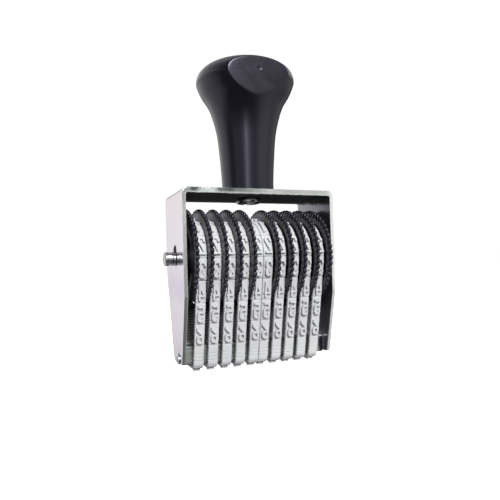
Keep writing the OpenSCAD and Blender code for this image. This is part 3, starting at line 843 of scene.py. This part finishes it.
def build_screw():
    h, hr = 1.6, 3.4
    low = WEB_LOW - h
    # pan head: rings, with the slot pressed in by moving the points of a fine disc
    n_r, segs = 44, 160
    rs = np.concatenate([np.linspace(0, hr - 0.55, n_r), hr - 0.55 + 0.55 * np.sin(np.linspace(0.15, 1, 8) * math.pi / 2)])
    crown = np.where(rs < hr - 0.55, 0.0, 0.55 - np.sqrt(np.maximum(0.55 ** 2 - (rs - hr + 0.55) ** 2, 0)))
    ang = np.arange(segs) * 2 * math.pi / segs
    verts = []
    for r_, c_ in zip(rs[1:], crown[1:]):
        x, y = r_ * np.cos(ang), r_ * np.sin(ang)
        slot_d = np.clip((0.62 - np.abs(x)) / 0.1, 0, 1) * 0.95
        z = low + np.maximum(c_ + 0.08 * (r_ / hr) ** 2, slot_d)
        verts.append(np.stack([x, y, z], -1))
    for r_, z_ in ((hr, WEB_LOW - 0.12), (hr - 0.1, WEB_LOW), (1.75, WEB_LOW)):
        verts.append(np.stack([r_ * np.cos(ang), r_ * np.sin(ang), np.full(segs, z_)], -1))
    turns = 13
    zs = np.linspace(WEB_LOW + 0.3, WEB_TOP + 12 - 0.8, turns * 6)
    for z_ in zs:
        r_ = 1.62 + 0.12 * math.cos((z_ - WEB_LOW) / 0.6 * 2 * math.pi)
        verts.append(np.stack([r_ * np.cos(ang), r_ * np.sin(ang), np.full(segs, z_)], -1))
    verts.append(np.stack([1.1 * np.cos(ang), 1.1 * np.sin(ang), np.full(segs, WEB_TOP + 12.0)], -1))
    v = np.concatenate([[[0, 0, low + 0.95]], np.concatenate(verts)]) + np.array([HANDLE_X, 0, 0])
    rings = len(verts)
    f = [list(q + 1) for q in grid_faces(rings, segs, False, True)]
    f += [[0, 1 + (i + 1) % segs, 1 + i] for i in range(segs)]
    f += [list(range(1 + (rings - 1) * segs, 1 + rings * segs))]
    ob = make_object("handle_screw_slotted", v, f, [M_SCREW], None, True, 40)
    outward(ob)
    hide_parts("handle_screw")
    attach(ob, STAMP)


# ------------------------------------------------------------------ wheels
TEETH, PER = 50, 12
HUB_TEETH = 36


def wheel_points(phase):
    """Section points of a wheel by angle: (n, m, 3) as axial place, radius, angle. Axial 0 is the disc's middle, + towards the hub."""
    n = TEETH * PER
    th = np.arange(n) * 2 * math.pi / n
    ph = (th * TEETH / (2 * math.pi)) % 1.0
    ph = np.minimum(ph, 1 - ph) * 2             # 0 at a bead's crown, 1 in the valley
    bead = np.sqrt(np.clip(1 - (ph / 0.86) ** 2, 0, 1))
    t2, rim = FLANGE_T / 2, RIM_W / 2
    depth = 0.62
    valley = WHEEL_R - depth
    hub_ph = (th * HUB_TEETH / (2 * math.pi)) % 1.0
    hub_r = HUB_R - 0.11 + 0.11 * np.clip(1.6 * np.cos(2 * math.pi * hub_ph), -1, 1)
    e1 = t2 + HUB_W
    wide = rim * (0.52 + 0.48 * bead)           # the beads stand out to both sides
    sec = []

    def add(x, r):
        sec.append(np.stack([np.broadcast_to(x, n), np.broadcast_to(r, n), th + phase], -1))

    add(-t2 + 0.10, 2.3)
    add(-t2, 2.42)
    add(-t2, 4.6)
    add(-t2 + 0.02, 4.72)
    add(-t2 + 0.10, 4.85)
    add(-t2 + 0.10, 8.2)
    add(-t2 + 0.10, 9.0)
    add(-t2 + 0.04, 9.15)
    add(-rim * 0.84, 9.32)
    add(-rim * 0.90, 9.5)
    add(-rim * 0.93, 10.4)
    add(-rim * 0.93, RIM_R)
    add(-rim * 0.92, RIM_R + 0.6)
    add(-rim * 0.90 + (rim * 0.90 - wide) * 0.6, valley - 0.16)
    add(-wide, valley - 0.02)
    for u in (-0.97, -0.88, -0.74, -0.55, -0.3, 0.0, 0.3, 0.55, 0.74, 0.88, 0.97):
        add(wide * u, valley + depth * bead * math.sqrt(1 - u * u * 0.985) - 0.03 * (1 - bead) * abs(u))
    add(wide, valley - 0.02)
    add(rim * 0.90 - (rim * 0.90 - wide) * 0.6, valley - 0.22)
    add(rim * 0.92, RIM_R + 0.55)
    add(rim * 0.92, RIM_R + 0.2)
    add(rim * 0.86, RIM_R + 0.02)
    add(t2 + 0.03, RIM_R - 0.18)
    add(t2 - 0.04, RIM_R - 0.35)
    add(t2 - 0.08, RIM_R - 0.6)
    add(t2 - 0.08, 9.6)
    add(t2 - 0.08, HUB_R + 0.12)
    add(t2 - 0.02, hub_r)
    add(t2 + HUB_W * 0.5, hub_r)
    add(e1 - 0.1, hub_r)
    add(e1, hub_r - 0.12)
    add(e1, 6.6)
    add(e1 - 0.15, 6.45)
    add(e1 - 0.15, 3.4)
    add(e1, 3.25)
    add(e1, 2.42)
    add(e1 - 0.1, 2.3)
    return np.stack(sec, 1)


def build_wheels():
    for k in range(10):
        sx = -1 if k < 5 else 1
        xf = PACK_X + sx * (WHEEL_OFF + (4 - k if k < 5 else k - 5) * PITCH)
        phase = k * 0.61 + 0.13 * k * k
        sec = wheel_points(phase)
        x = xf - sx * sec[..., 0]
        y = sec[..., 1] * np.cos(sec[..., 2])
        z = AXLE_Z + sec[..., 1] * np.sin(sec[..., 2])
        v = np.stack([x, y, z], -1)
        n, m = v.shape[:2]
        f = grid_faces(n, m, True, True, flip=sx > 0)
        flat_v = v.reshape(-1, 3)
        q = flat_v[f]
        nrm = np.cross(q[:, 2] - q[:, 0], q[:, 3] - q[:, 1])
        nrm /= np.maximum(np.linalg.norm(nrm, axis=1, keepdims=True), 1e-12)
        ob = make_object("wheel_%d_knurled" % (k + 1), flat_v, f, [M_WHEEL, M_WHEEL_FACE], (np.abs(nrm[:, 0]) > 0.85).astype(int), True, 55)
        outward(ob)
        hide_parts("wheel_%d" % (k + 1))
        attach(ob, "wheel_%d" % (k + 1))


# ------------------------------------------------------------------ band path
def tangent_angle(cy, sgn):
    dy, dz = cy, COR_Z - AXLE_Z
    ln = math.hypot(dy, dz)
    return math.degrees(math.atan2(dz, dy)) + sgn * math.degrees(math.acos((HUB_B - COR_B) / ln))


N_F = math.radians(tangent_angle(COR_Y[0], -1) + 360)
N_R = math.radians(tangent_angle(COR_Y[1], 1))
D = lambda b: np.array([math.cos(b), math.sin(b)])
HALF_FLAT = (COR_Y[1] - COR_Y[0]) / 2
MID_Y = (COR_Y[0] + COR_Y[1]) / 2
ARC_F = (1.5 * math.pi - N_F) * COR_B
ARC_R = (N_R + 2 * math.pi - 1.5 * math.pi) * COR_B
HUB_C, COR_F, COR_R = np.array([0, AXLE_Z]), np.array([COR_Y[0], COR_Z]), np.array([COR_Y[1], COR_Z])
RUN_F = np.linalg.norm(HUB_C + HUB_B * D(N_F) - COR_F - COR_B * D(N_F))
RUN_R = np.linalg.norm(HUB_C + HUB_B * D(N_R) - COR_R - COR_B * D(N_R))
ARC_H = (N_F - N_R) * HUB_B
TOTAL = 2 * HALF_FLAT + ARC_F + ARC_R + RUN_F + RUN_R + ARC_H
KNOTS = np.cumsum([0, HALF_FLAT, ARC_F, RUN_F, ARC_H, RUN_R, ARC_R, HALF_FLAT])


def path(s):
    """Centre line of a band at distance s from the middle of its printing face: y, z and the normal's angle."""
    s = np.mod(np.asarray(s, float), TOTAL)
    y, z, b = np.zeros_like(s), np.zeros_like(s), np.zeros_like(s)
    k = KNOTS
    m = s <= k[1]
    y[m], z[m], b[m] = MID_Y - s[m], COR_Z - COR_B, 1.5 * math.pi
    m = (s > k[1]) & (s <= k[2])
    b[m] = 1.5 * math.pi - (s[m] - k[1]) / COR_B
    y[m], z[m] = COR_F[0] + COR_B * np.cos(b[m]), COR_F[1] + COR_B * np.sin(b[m])
    m = (s > k[2]) & (s <= k[3])
    p, u = COR_F + COR_B * D(N_F), D(N_F - math.pi / 2)
    y[m], z[m], b[m] = p[0] + (s[m] - k[2]) * u[0], p[1] + (s[m] - k[2]) * u[1], N_F
    m = (s > k[3]) & (s <= k[4])
    b[m] = N_F - (s[m] - k[3]) / HUB_B
    y[m], z[m] = HUB_B * np.cos(b[m]), AXLE_Z + HUB_B * np.sin(b[m])
    m = (s > k[4]) & (s <= k[5])
    p, u = HUB_C + HUB_B * D(N_R), D(N_R - math.pi / 2)
    y[m], z[m], b[m] = p[0] + (s[m] - k[4]) * u[0], p[1] + (s[m] - k[4]) * u[1], N_R
    m = (s > k[5]) & (s <= k[6])
    b[m] = N_R - (s[m] - k[5]) / COR_B
    y[m], z[m] = COR_R[0] + COR_B * np.cos(b[m]), COR_R[1] + COR_B * np.sin(b[m])
    m = s > k[6]
    y[m], z[m], b[m] = COR_R[0] - (s[m] - k[6]), COR_Z - COR_B, -0.5 * math.pi
    return y, z, b


# ------------------------------------------------------------------ characters
def sd_box(p, cx, cy, hx, hy):
    q = np.abs(p - np.array([cx, cy])) - np.array([hx, hy])
    return np.linalg.norm(np.maximum(q, 0), axis=-1) + np.minimum(q.max(-1), 0)


def sd_seg(p, a, b, r):
    a, b = np.array(a), np.array(b)
    pa, ba = p - a, b - a
    h = np.clip((pa @ ba) / (ba @ ba), 0, 1)
    return np.linalg.norm(pa - h[..., None] * ba, axis=-1) - r


def smin(a, b, k=0.07):
    h = np.clip(0.5 + 0.5 * (b - a) / k, 0, 1)
    return b + (a - b) * h - k * h * (1 - h)


def smax(a, b, k=0.07):
    return -smin(-a, -b, k)


HS = STROKE / 2


def ring(p, cy, half, r=0.675):
    """A bowl: an upright oval stroke, half is the half height of its centre line."""
    d = half - r
    return np.abs(sd_seg(p, (0, cy - d), (0, cy + d), r)) - HS


def glyph_field(c, p):
    x, y = p[..., 0], p[..., 1]
    gh = GLYPH_H / 2
    cy = gh - HS
    box = sd_box(p, 0, 0, GLYPH_W / 2 + 0.02, gh)
    if c == "0":
        return ring(p, 0, cy, 0.675)
    if c == "1":
        f = smin(sd_box(p, 0.18, 0, HS + 0.015, gh), sd_seg(p, (0.12, 1.98), (-0.62, 1.22), 0.25))
        return smax(f, sd_box(p, 0, 0, 0.95, gh))
    if c == "2":
        r = 0.675
        top = np.abs(np.hypot(x, y - 1.2) - r) - HS
        top = smax(top, 1.16 - y - 0.9 * np.clip(x, 0, 0.4))
        f = smin(top, sd_seg(p, (-r, 1.22), (-r, 0.98), HS), 0.03)
        f = smin(f, sd_seg(p, (0.60, 0.92), (-0.62, -1.72), HS), 0.10)
        f = smin(f, sd_box(p, 0, -gh + HS, 0.95, HS))
        return smax(f, box)
    if c == "3":
        f = smin(ring(p, 0.9875, 0.8875), ring(p, -0.8875, 0.9875))
        return smax(f, -sd_box(p, -0.85, 0.05, 0.72, 0.86))
    if c == "4":
        f = smin(sd_box(p, 0.52, 0, HS, gh), sd_box(p, 0, -0.93, 0.95, HS))
        f = smin(f, smax(sd_seg(p, (0.46, 2.02), (-0.70, -0.86), 0.26), -x - 0.95))
        return smax(f, box)
    if c == "5":
        f = smin(sd_box(p, 0.02, gh - HS, 0.84, HS), sd_box(p, -0.575, 1.15, HS, 1.0))
        bowl = smax(ring(p, -0.6625, 1.2125), -sd_box(p, -0.85, -0.36, 0.72, 0.58))
        return smax(smin(f, bowl), box)
    if c in "69":
        if c == "9":
            p = -p
            x, y = -x, -y
        f = smin(sd_seg(p, (0.86, 1.80), (-0.55, 0.20), HS), sd_seg(p, (-0.61, 0.12), (-0.675, -0.9), HS), 0.10)
        return smax(smin(f, ring(p, -1.025, 0.85)), sd_box(p, 0, 0, 0.97, gh))
    if c == "7":
        f = smin(sd_box(p, 0, gh - HS, 0.95, HS), sd_seg(p, (0.64, 1.72), (-0.30, -2.4), 0.28))
        return smax(f, box)
    if c == "8":
        return smin(ring(p, 0.9875, 0.8875, 0.62), ring(p, -0.8875, 0.9875))
    if c == ",":
        f = smin(sd_box(p, 0, -gh + 0.66, 0.30, 0.30), sd_seg(p, (0.14, -gh + 0.5), (-0.16, -gh - 0.02), 0.13))
        return f
    if c == "+":
        return smin(sd_box(p, 0, 0, 0.95, HS), sd_box(p, 0, 0, HS, 0.95))
    if c == "/":
        return smax(sd_seg(p, (0.78, 2.3), (-0.78, -2.3), 0.25), box)
    if c == ".":
        return sd_box(p, 0, -gh + 0.34, 0.32, 0.32)
    return sd_box(p, 0, 0, 0.70, HS)


def contours_of(field, xs, ys):
    """Closed outlines where the field is zero, by marching squares."""
    nx, ny = len(xs), len(ys)
    seg = {}

    def cross(i0, j0, i1, j1):
        a, b = field[i0, j0], field[i1, j1]
        t = a / (a - b)
        return (xs[i0] + t * (xs[i1] - xs[i0]), ys[j0] + t * (ys[j1] - ys[j0]))

    pts = {}
    links = {}

    def key(i0, j0, i1, j1):
        k = (i0, j0, i1, j1)
        if k not in pts:
            pts[k] = cross(i0, j0, i1, j1)
        return k

    ins = field < 0
    for i in range(nx - 1):
        for j in range(ny - 1):
            c = (ins[i, j], ins[i + 1, j], ins[i + 1, j + 1], ins[i, j + 1])
            if all(c) or not any(c):
                continue
            e = []
            if c[0] != c[1]:
                e.append(key(i, j, i + 1, j))
            if c[1] != c[2]:
                e.append(key(i + 1, j, i + 1, j + 1))
            if c[2] != c[3]:
                e.append(key(i, j + 1, i + 1, j + 1))
            if c[3] != c[0]:
                e.append(key(i, j, i, j + 1))
            for a, b in zip(e[::2], e[1::2]):
                links.setdefault(a, []).append(b)
                links.setdefault(b, []).append(a)
    out = []
    todo = sorted(links)
    seen = set()
    for start in todo:
        if start in seen:
            continue
        loop, cur, prev = [], start, None
        while cur not in seen:
            seen.add(cur)
            loop.append(pts[cur])
            nxt = [q for q in links[cur] if q != prev]
            prev, cur = cur, nxt[0] if nxt else start
        if len(loop) > 8:
            out.append(np.array(loop))
    return out


def even_loop(loop, step, passes=2):
    """Resamples a closed outline evenly, after a light smoothing."""
    p = loop
    for _ in range(passes):
        p = 0.5 * p + 0.25 * (np.roll(p, 1, 0) + np.roll(p, -1, 0))
    q = np.concatenate([p, p[:1]])
    d = np.concatenate([[0], np.cumsum(np.linalg.norm(np.diff(q, axis=0), axis=1))])
    n = max(12, int(round(d[-1] / step)))
    t = np.linspace(0, d[-1], n, endpoint=False)
    return np.stack([np.interp(t, d, q[:, 0]), np.interp(t, d, q[:, 1])], -1)


GLYPHS = {}


def glyph_mesh(c):
    """Raised character in the flat: x across, y along the band, height 0 to its full relief plus its root."""
    if c in GLYPHS:
        return GLYPHS[c]
    xs = np.arange(-1.25, 1.2501, 0.035)
    ys = np.arange(-2.55, 2.5501, 0.035)
    g = np.stack(np.meshgrid(xs, ys, indexing="ij"), -1)
    loops = [even_loop(l, 0.085) for l in contours_of(glyph_field(c, g), xs, ys)]
    root = 0.16
    bm = flat_solid(loops, RELIEF + root, 0.10, 3)
    cut_planes(bm, 1, np.arange(-1.8, 1.81, 0.6))
    v, f = bm_arrays(bm)
    bm.free()
    v[:, 2] += (RELIEF + root) / 2 - root
    GLYPHS[c] = (v, f)
    return GLYPHS[c]


CHARS = [("7", 0.0)] + [(c, FRONT_0 + (k + 2) * FRONT_STEP) for k, c in enumerate("654321+")]
CHARS += [(c, -(REAR_0 + (k + 1) * REAR_STEP)) for k, c in enumerate("890,/.-")]
# joints between the pads: place, depth, half width. They gape where the band bends over its hub
GROOVES = [(FRONT_0 + (k + 0.5) * FRONT_STEP, d, w) for k, d, w in
           ((1, 0.11, 0.17), (2, 0.12, 0.17), (3, 0.12, 0.17), (4, 0.20, 0.20), (5, 0.15, 0.20), (6, 0.13, 0.19), (7, 0.2, 0.24))]
GROOVES += [(-(REAR_0 + (k + 0.5) * REAR_STEP), d, w) for k, d, w in
            ((1, 0.11, 0.17), (2, 0.12, 0.17), (3, 0.12, 0.17), (4, 0.14, 0.19), (5, 0.25, 0.25), (6, 0.25, 0.25), (7, 0.25, 0.25))]
# moulding lines on the blank pads at the lower corners
BLANK_LINES = [(6.76, 0.05, 0.16), (5.77, 0.05, 0.16), (4.9, 0.07, 0.16), (3.45, 0.09, 0.16), (-3.5, 0.09, 0.16), (-5.2, 0.05, 0.16)]
RIBS = 70


def build_band(k):
    sx = -1 if k < 5 else 1
    xb = PACK_X + sx * (BAND_OFF + (4 - k if k < 5 else k - 5) * PITCH)
    local = np.random.default_rng(100 + k)
    creep = float(local.uniform(-0.05, 0.05))
    # stations along the loop, closer at the grooves
    base = np.arange(0, TOTAL, 0.2)
    cuts = np.array(GROOVES + BLANK_LINES)
    cuts[:, 0] = np.mod(cuts[:, 0] + creep, TOTAL)
    steps = np.array([-1.15, -0.95, -0.75, -0.55, -0.3, 0, 0.3, 0.55, 0.75, 0.95, 1.15])
    special = np.mod((cuts[:, :1] + cuts[:, 2:] * steps).ravel(), TOTAL)
    keep = np.array([np.min(np.abs(special - b)) > 0.045 for b in base])
    st = np.sort(np.concatenate([base[keep], special]))
    dip = np.zeros_like(st)
    shade = np.zeros_like(st)
    for j, (c, depth, half) in enumerate(cuts):
        d = np.abs(st - c)
        d = np.minimum(d, TOTAL - d)
        a = np.clip(1.12 - d / half, 0, 1)
        a = a * a * (3 - 2 * a)
        dip = np.maximum(dip, depth * a)
        shade = np.maximum(shade, min(1.0, depth * 3.6) * a)
    top = HALF_B - dip
    wide = BAND_W / 2 - 0.22 * dip
    # driving ribs inside
    rib = 0.5 + 0.5 * np.clip(1.9 * np.cos(st / TOTAL * RIBS * 2 * math.pi), -1, 1)
    inn = -HALF_B + 0.3 * (1 - rib)
    wob = 0.02 * np.sin(st * 1.7 + k) + 0.015 * np.sin(st * 3.1 + 2 * k)
    y, z, b = path(st)
    sec = []                              # (across, height, cavity)
    w, t = wide, top

    def add(xx, hh, cav):
        sec.append((xx + np.zeros_like(st), hh + np.zeros_like(st), cav + np.zeros_like(st)))

    # the third value darkens the rubber's colour: painted shade
    cav_t = shade
    add(-w + 0.10, inn, 0.3)
    add(0.0, inn, 0.3)
    add(w - 0.10, inn, 0.3)
    add(w - 0.03, inn + 0.03, 0.3)
    add(w, inn + 0.10, 0.35)
    add(w, (inn + t) / 2, 0.25)
    add(w, t - 0.14, cav_t * 0.8)
    add(w - 0.035, t - 0.045, cav_t * 0.8)
    add(w - 0.13, t, cav_t)
    for fx in (0.72, 0.36, 0.0, -0.36, -0.72):
        add(w * fx, t, cav_t)
    add(-w + 0.19, t, cav_t)
    add(-w + 0.11, t - 0.05, cav_t * 0.8)
    add(-w + 0.02, t - 0.32, cav_t * 0.8)
    add(-w, (inn + t) / 2, 0.25)
    add(-w, inn + 0.10, 0.35)
    add(-w + 0.03, inn + 0.03, 0.3)
    X = np.stack([s_[0] for s_ in sec], 1) + wob[:, None] * 0.6
    H = np.stack([s_[1] for s_ in sec], 1)
    C = np.stack([s_[2] for s_ in sec], 1)
    Y = y[:, None] + H * np.cos(b)[:, None]
    Z = z[:, None] + H * np.sin(b)[:, None]
    v = [np.stack([xb + X, Y, Z], -1).reshape(-1, 3)]
    cav = [C.reshape(-1)]
    f = [list(q) for q in grid_faces(len(st), len(sec), True, True)]
    count = len(v[0])
    for c, s0 in CHARS:
        gv, gf = glyph_mesh(c)
        dx, dy = local.uniform(-0.03, 0.03), local.uniform(-0.04, 0.04)
        tilt = local.uniform(-0.012, 0.012)
        gx = -(gv[:, 0] + tilt * gv[:, 1]) + dx
        gy = gv[:, 1] + dy
        hh = HALF_B + gv[:, 2]
        flat_face = c == "7"
        if flat_face:
            gy = gv[:, 1]
        draft = 1.0
        yy, zz, bb = path(s0 + gy + (0 if flat_face else creep))
        v.append(np.stack([xb + gx * draft, yy + hh * np.cos(bb), zz + hh * np.sin(bb)], -1))
        # darker at the foot of each character: painted shade
        cav.append(np.clip((HALF_B + 0.14 - hh) / 0.14, 0, 1) * 0.6)
        f += [[q + count for q in fc] for fc in gf]
        count += len(gv)
    V = np.concatenate(v)
    V[:, 2] = np.maximum(V[:, 2], 0.0)
    ob = make_object("band_%d_rubber" % (k + 1), V, f, [M_BAND], None, True, 52)
    at = ob.data.attributes.new("cavity", "FLOAT", "POINT")
    cv = np.concatenate(cav).astype(np.float32)
    if len(cv) == len(ob.data.vertices):
        at.data.foreach_set("value", cv)
    outward(ob)
    weighted(ob)
    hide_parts("band_%d" % (k + 1))
    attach(ob, STAMP)


# ------------------------------------------------------------------ camera, light, floor
def build_camera():
    K = 0.9
    C = Vector((-57.52, -144.42, 31.00)) * K * MM
    yaw, pitch, roll = math.radians(21.659), math.radians(1.553), math.radians(-1.657)
    F = Vector((math.sin(yaw) * math.cos(pitch), math.cos(yaw) * math.cos(pitch), math.sin(pitch)))
    right = Vector((math.cos(yaw), -math.sin(yaw), 0))
    up = right.cross(F)
    R = math.cos(roll) * right + math.sin(roll) * up
    U = -math.sin(roll) * right + math.cos(roll) * up
    cd = bpy.data.cameras.new("camera")
    cd.sensor_width = 36
    cd.lens = 497.57 / 500 * 36
    cd.clip_start = 0.005
    cd.clip_end = 50
    cam = bpy.data.objects.new("camera", cd)
    M = Matrix.Identity(4)
    for i, c in enumerate((R, U, -F)):
        for j in range(3):
            M[j][i] = c[j]
    for j in range(3):
        M[j][3] = C[j]
    cam.matrix_world = M
    bpy.context.scene.collection.objects.link(cam)
    bpy.context.scene.camera = cam


def area(name, loc, target, size, power, col=(1, 1, 1), size_y=None):
    li = bpy.data.lights.new(name, "AREA")
    li.energy = power
    li.color = col
    li.size = size
    if size_y:
        li.shape = "RECTANGLE"
        li.size_y = size_y
    ob = bpy.data.objects.new(name, li)
    ob.location = loc
    d = Vector(target) - Vector(loc)
    ob.rotation_euler = d.to_track_quat("-Z", "Y").to_euler()
    bpy.context.scene.collection.objects.link(ob)
    return ob


# brightness of the room by direction, degrees clockwise from +Y, at eye level, below and above
LEVEL = [(-180, 0.66), (-172, 0.95), (-165, 1.8), (-158, 3.1), (-151, 1.5), (-144, 0.75), (-130, 0.52), (-112, 0.52), (-100, 0.24),
         (-86, 0.26), (-76, 0.72), (-62, 1.0), (-30, 1.0), (-12, 0.92), (0, 0.40), (12, (0.05, 0.045, 0.065)),
         (42, (0.05, 0.045, 0.065)), (60, 0.32), (80, 0.48), (104, 0.60), (122, 0.98), (146, 1.05), (158, 0.72), (168, 0.52), (180, 0.66)]
MID = [(-180, 0.18), (-140, 0.17), (-112, 0.18), (-101, 0.34), (-90, 0.85), (-74, 1.1), (-50, 1.1), (-14, 1.2), (0, 0.7), (12, (0.10, 0.095, 0.12)),
       (34, (0.10, 0.095, 0.12)), (48, 0.5), (60, 1.1), (78, 1.0), (92, 0.6), (112, 0.65), (140, 0.6), (160, 0.30), (180, 0.18)]
LOW = [(-180, 0.16), (-150, 0.16), (-104, 0.17), (-92, 0.5), (-74, 0.85), (-40, 0.92), (-14, 0.8), (-4, 0.4), (5, 0.06),
       (14, (0.025, 0.022, 0.032)), (45, (0.025, 0.022, 0.032)), (70, 0.25), (100, 0.62), (130, 0.85), (150, 0.7), (165, 0.3), (180, 0.16)]
HIGH = [(-180, 0.22), (-150, 0.25), (-120, 0.25), (-85, 0.5), (-60, 0.85), (-20, 0.85), (5, 0.5), (40, 0.4), (80, 0.4),
        (110, 0.42), (145, 0.42), (165, 0.28), (180, 0.22)]


def build_studio():
    sc = bpy.context.scene
    sc.view_settings.view_transform = "Standard"
    sc.view_settings.look = "None"
    w = bpy.data.worlds.new("studio")
    sc.world = w
    w.use_nodes = True
    nt = w.node_tree
    nt.nodes.clear()
    out = nt.nodes.new("ShaderNodeOutputWorld")
    lit = nt.nodes.new("ShaderNodeBackground")
    seen = nt.nodes.new("ShaderNodeBackground")
    mixs = nt.nodes.new("ShaderNodeMixShader")
    lp = nt.nodes.new("ShaderNodeLightPath")
    seen.inputs["Color"].default_value = (1, 1, 1, 1)
    seen.inputs["Strength"].default_value = 1.02
    # soft studio round the stamp: what a shiny surface meets depends on the direction, clockwise from +Y
    tc = nt.nodes.new("ShaderNodeTexCoord")
    sep = nt.nodes.new("ShaderNodeSeparateXYZ")
    nt.links.new(tc.outputs["Generated"], sep.inputs[0])
    az = span(nt, math_node(nt, "ARCTAN2", sep.outputs["X"], sep.outputs["Y"]), 0.0, 1.0, -math.pi, math.pi)

    def round_ramp(table):
        grey = lambda g: g if isinstance(g, tuple) else (g, g, g)
        return ramp(nt, az, [((a + 180) / 360, grey(g)) for a, g in table])

    level = round_ramp(LEVEL)
    low = round_ramp(LOW)
    mid = round_ramp(MID)
    high = round_ramp(HIGH)
    part = nt.nodes.new("ShaderNodeMapRange")
    part.interpolation_type = "SMOOTHSTEP"
    part.inputs["From Min"].default_value, part.inputs["From Max"].default_value = 0.17, 0.42
    nt.links.new(sep.outputs["Z"], part.inputs["Value"])
    up = nt.nodes.new("ShaderNodeMapRange")
    up.interpolation_type = "SMOOTHSTEP"
    up.inputs["From Min"].default_value, up.inputs["From Max"].default_value = 0.42, 0.75
    nt.links.new(sep.outputs["Z"], up.inputs["Value"])
    down = nt.nodes.new("ShaderNodeMapRange")
    down.interpolation_type = "SMOOTHSTEP"
    down.inputs["From Min"].default_value, down.inputs["From Max"].default_value = 0.0, -0.28
    nt.links.new(sep.outputs["Z"], down.inputs["Value"])
    level = mix_col(nt, part.outputs["Result"], mix_col(nt, down.outputs["Result"], level, low), mid)
    col = mix_col(nt, up.outputs["Result"], level, high)
    nt.links.new(col, lit.inputs["Color"])
    lit.inputs["Strength"].default_value = 1.0
    # what lights dull surfaces: brighter from above
    soft = nt.nodes.new("ShaderNodeBackground")
    nt.links.new(ramp(nt, span(nt, sep.outputs["Z"], 0.0, 1.0, -1.0, 1.0),
                      [(0.0, (0.22, 0.22, 0.23)), (0.42, (0.26, 0.26, 0.27)), (0.6, (0.42, 0.42, 0.43)), (1.0, (0.80, 0.80, 0.80))]),
                 soft.inputs["Color"])
    gl = nt.nodes.new("ShaderNodeMixShader")
    nt.links.new(lp.outputs["Is Glossy Ray"], gl.inputs[0])
    nt.links.new(soft.outputs[0], gl.inputs[1])
    nt.links.new(lit.outputs[0], gl.inputs[2])
    nt.links.new(lp.outputs["Is Camera Ray"], mixs.inputs[0])
    nt.links.new(gl.outputs[0], mixs.inputs[1])
    nt.links.new(seen.outputs[0], mixs.inputs[2])
    nt.links.new(mixs.outputs[0], out.inputs[0])
    key = area("key", (0.02, -0.86, 0.47), (0, 0, 0.03), 0.30, 10.5)
    key.visible_glossy = False
    spark = area("spark", (-0.06, -0.80, 0.60), (0, 0, 0.03), 0.34, 13.0)
    spark.visible_diffuse = False
    back = area("back", (0.28, 0.80, 0.34), (0, 0, 0.03), 0.50, 6.0)
    back.visible_glossy = False

    fl = bpy.data.meshes.new("floor")
    n = 33
    t = np.linspace(-1, 1, n)
    gx, gy = np.meshgrid(t, t, indexing="ij")
    v = np.stack([gx.ravel() * 3.0, gy.ravel() * 3.0, np.zeros(n * n)], -1)
    fl.from_pydata(v.tolist(), [], grid_faces(n, n, False, False).tolist())
    m, mt, bs = new_mat("floor_paper")
    fn = noise(mt, coords(mt), 700, 3, 0.5)
    mt.links.new(ramp(mt, fn, [(0.3, (0.93, 0.93, 0.93)), (0.7, (0.96, 0.96, 0.96))]), bs.inputs["Base Color"])
    bs.inputs["Roughness"].default_value = 0.9
    bs.inputs["Specular IOR Level"].default_value = 0.1
    bs.inputs["Emission Color"].default_value = (1, 1, 1, 1)
    bs.inputs["Emission Strength"].default_value = 1.0
    fl.materials.append(m)
    fo = bpy.data.objects.new("floor", fl)
    bpy.context.scene.collection.objects.link(fo)
    fo.visible_glossy = False
    fo.visible_diffuse = False


build_camera()
build_studio()
build_handle()
build_frame()
build_axle()
build_bridge()
build_screw()
build_wheels()
for i in range(10):
    build_band(i)

bpy.context.view_layer.update()
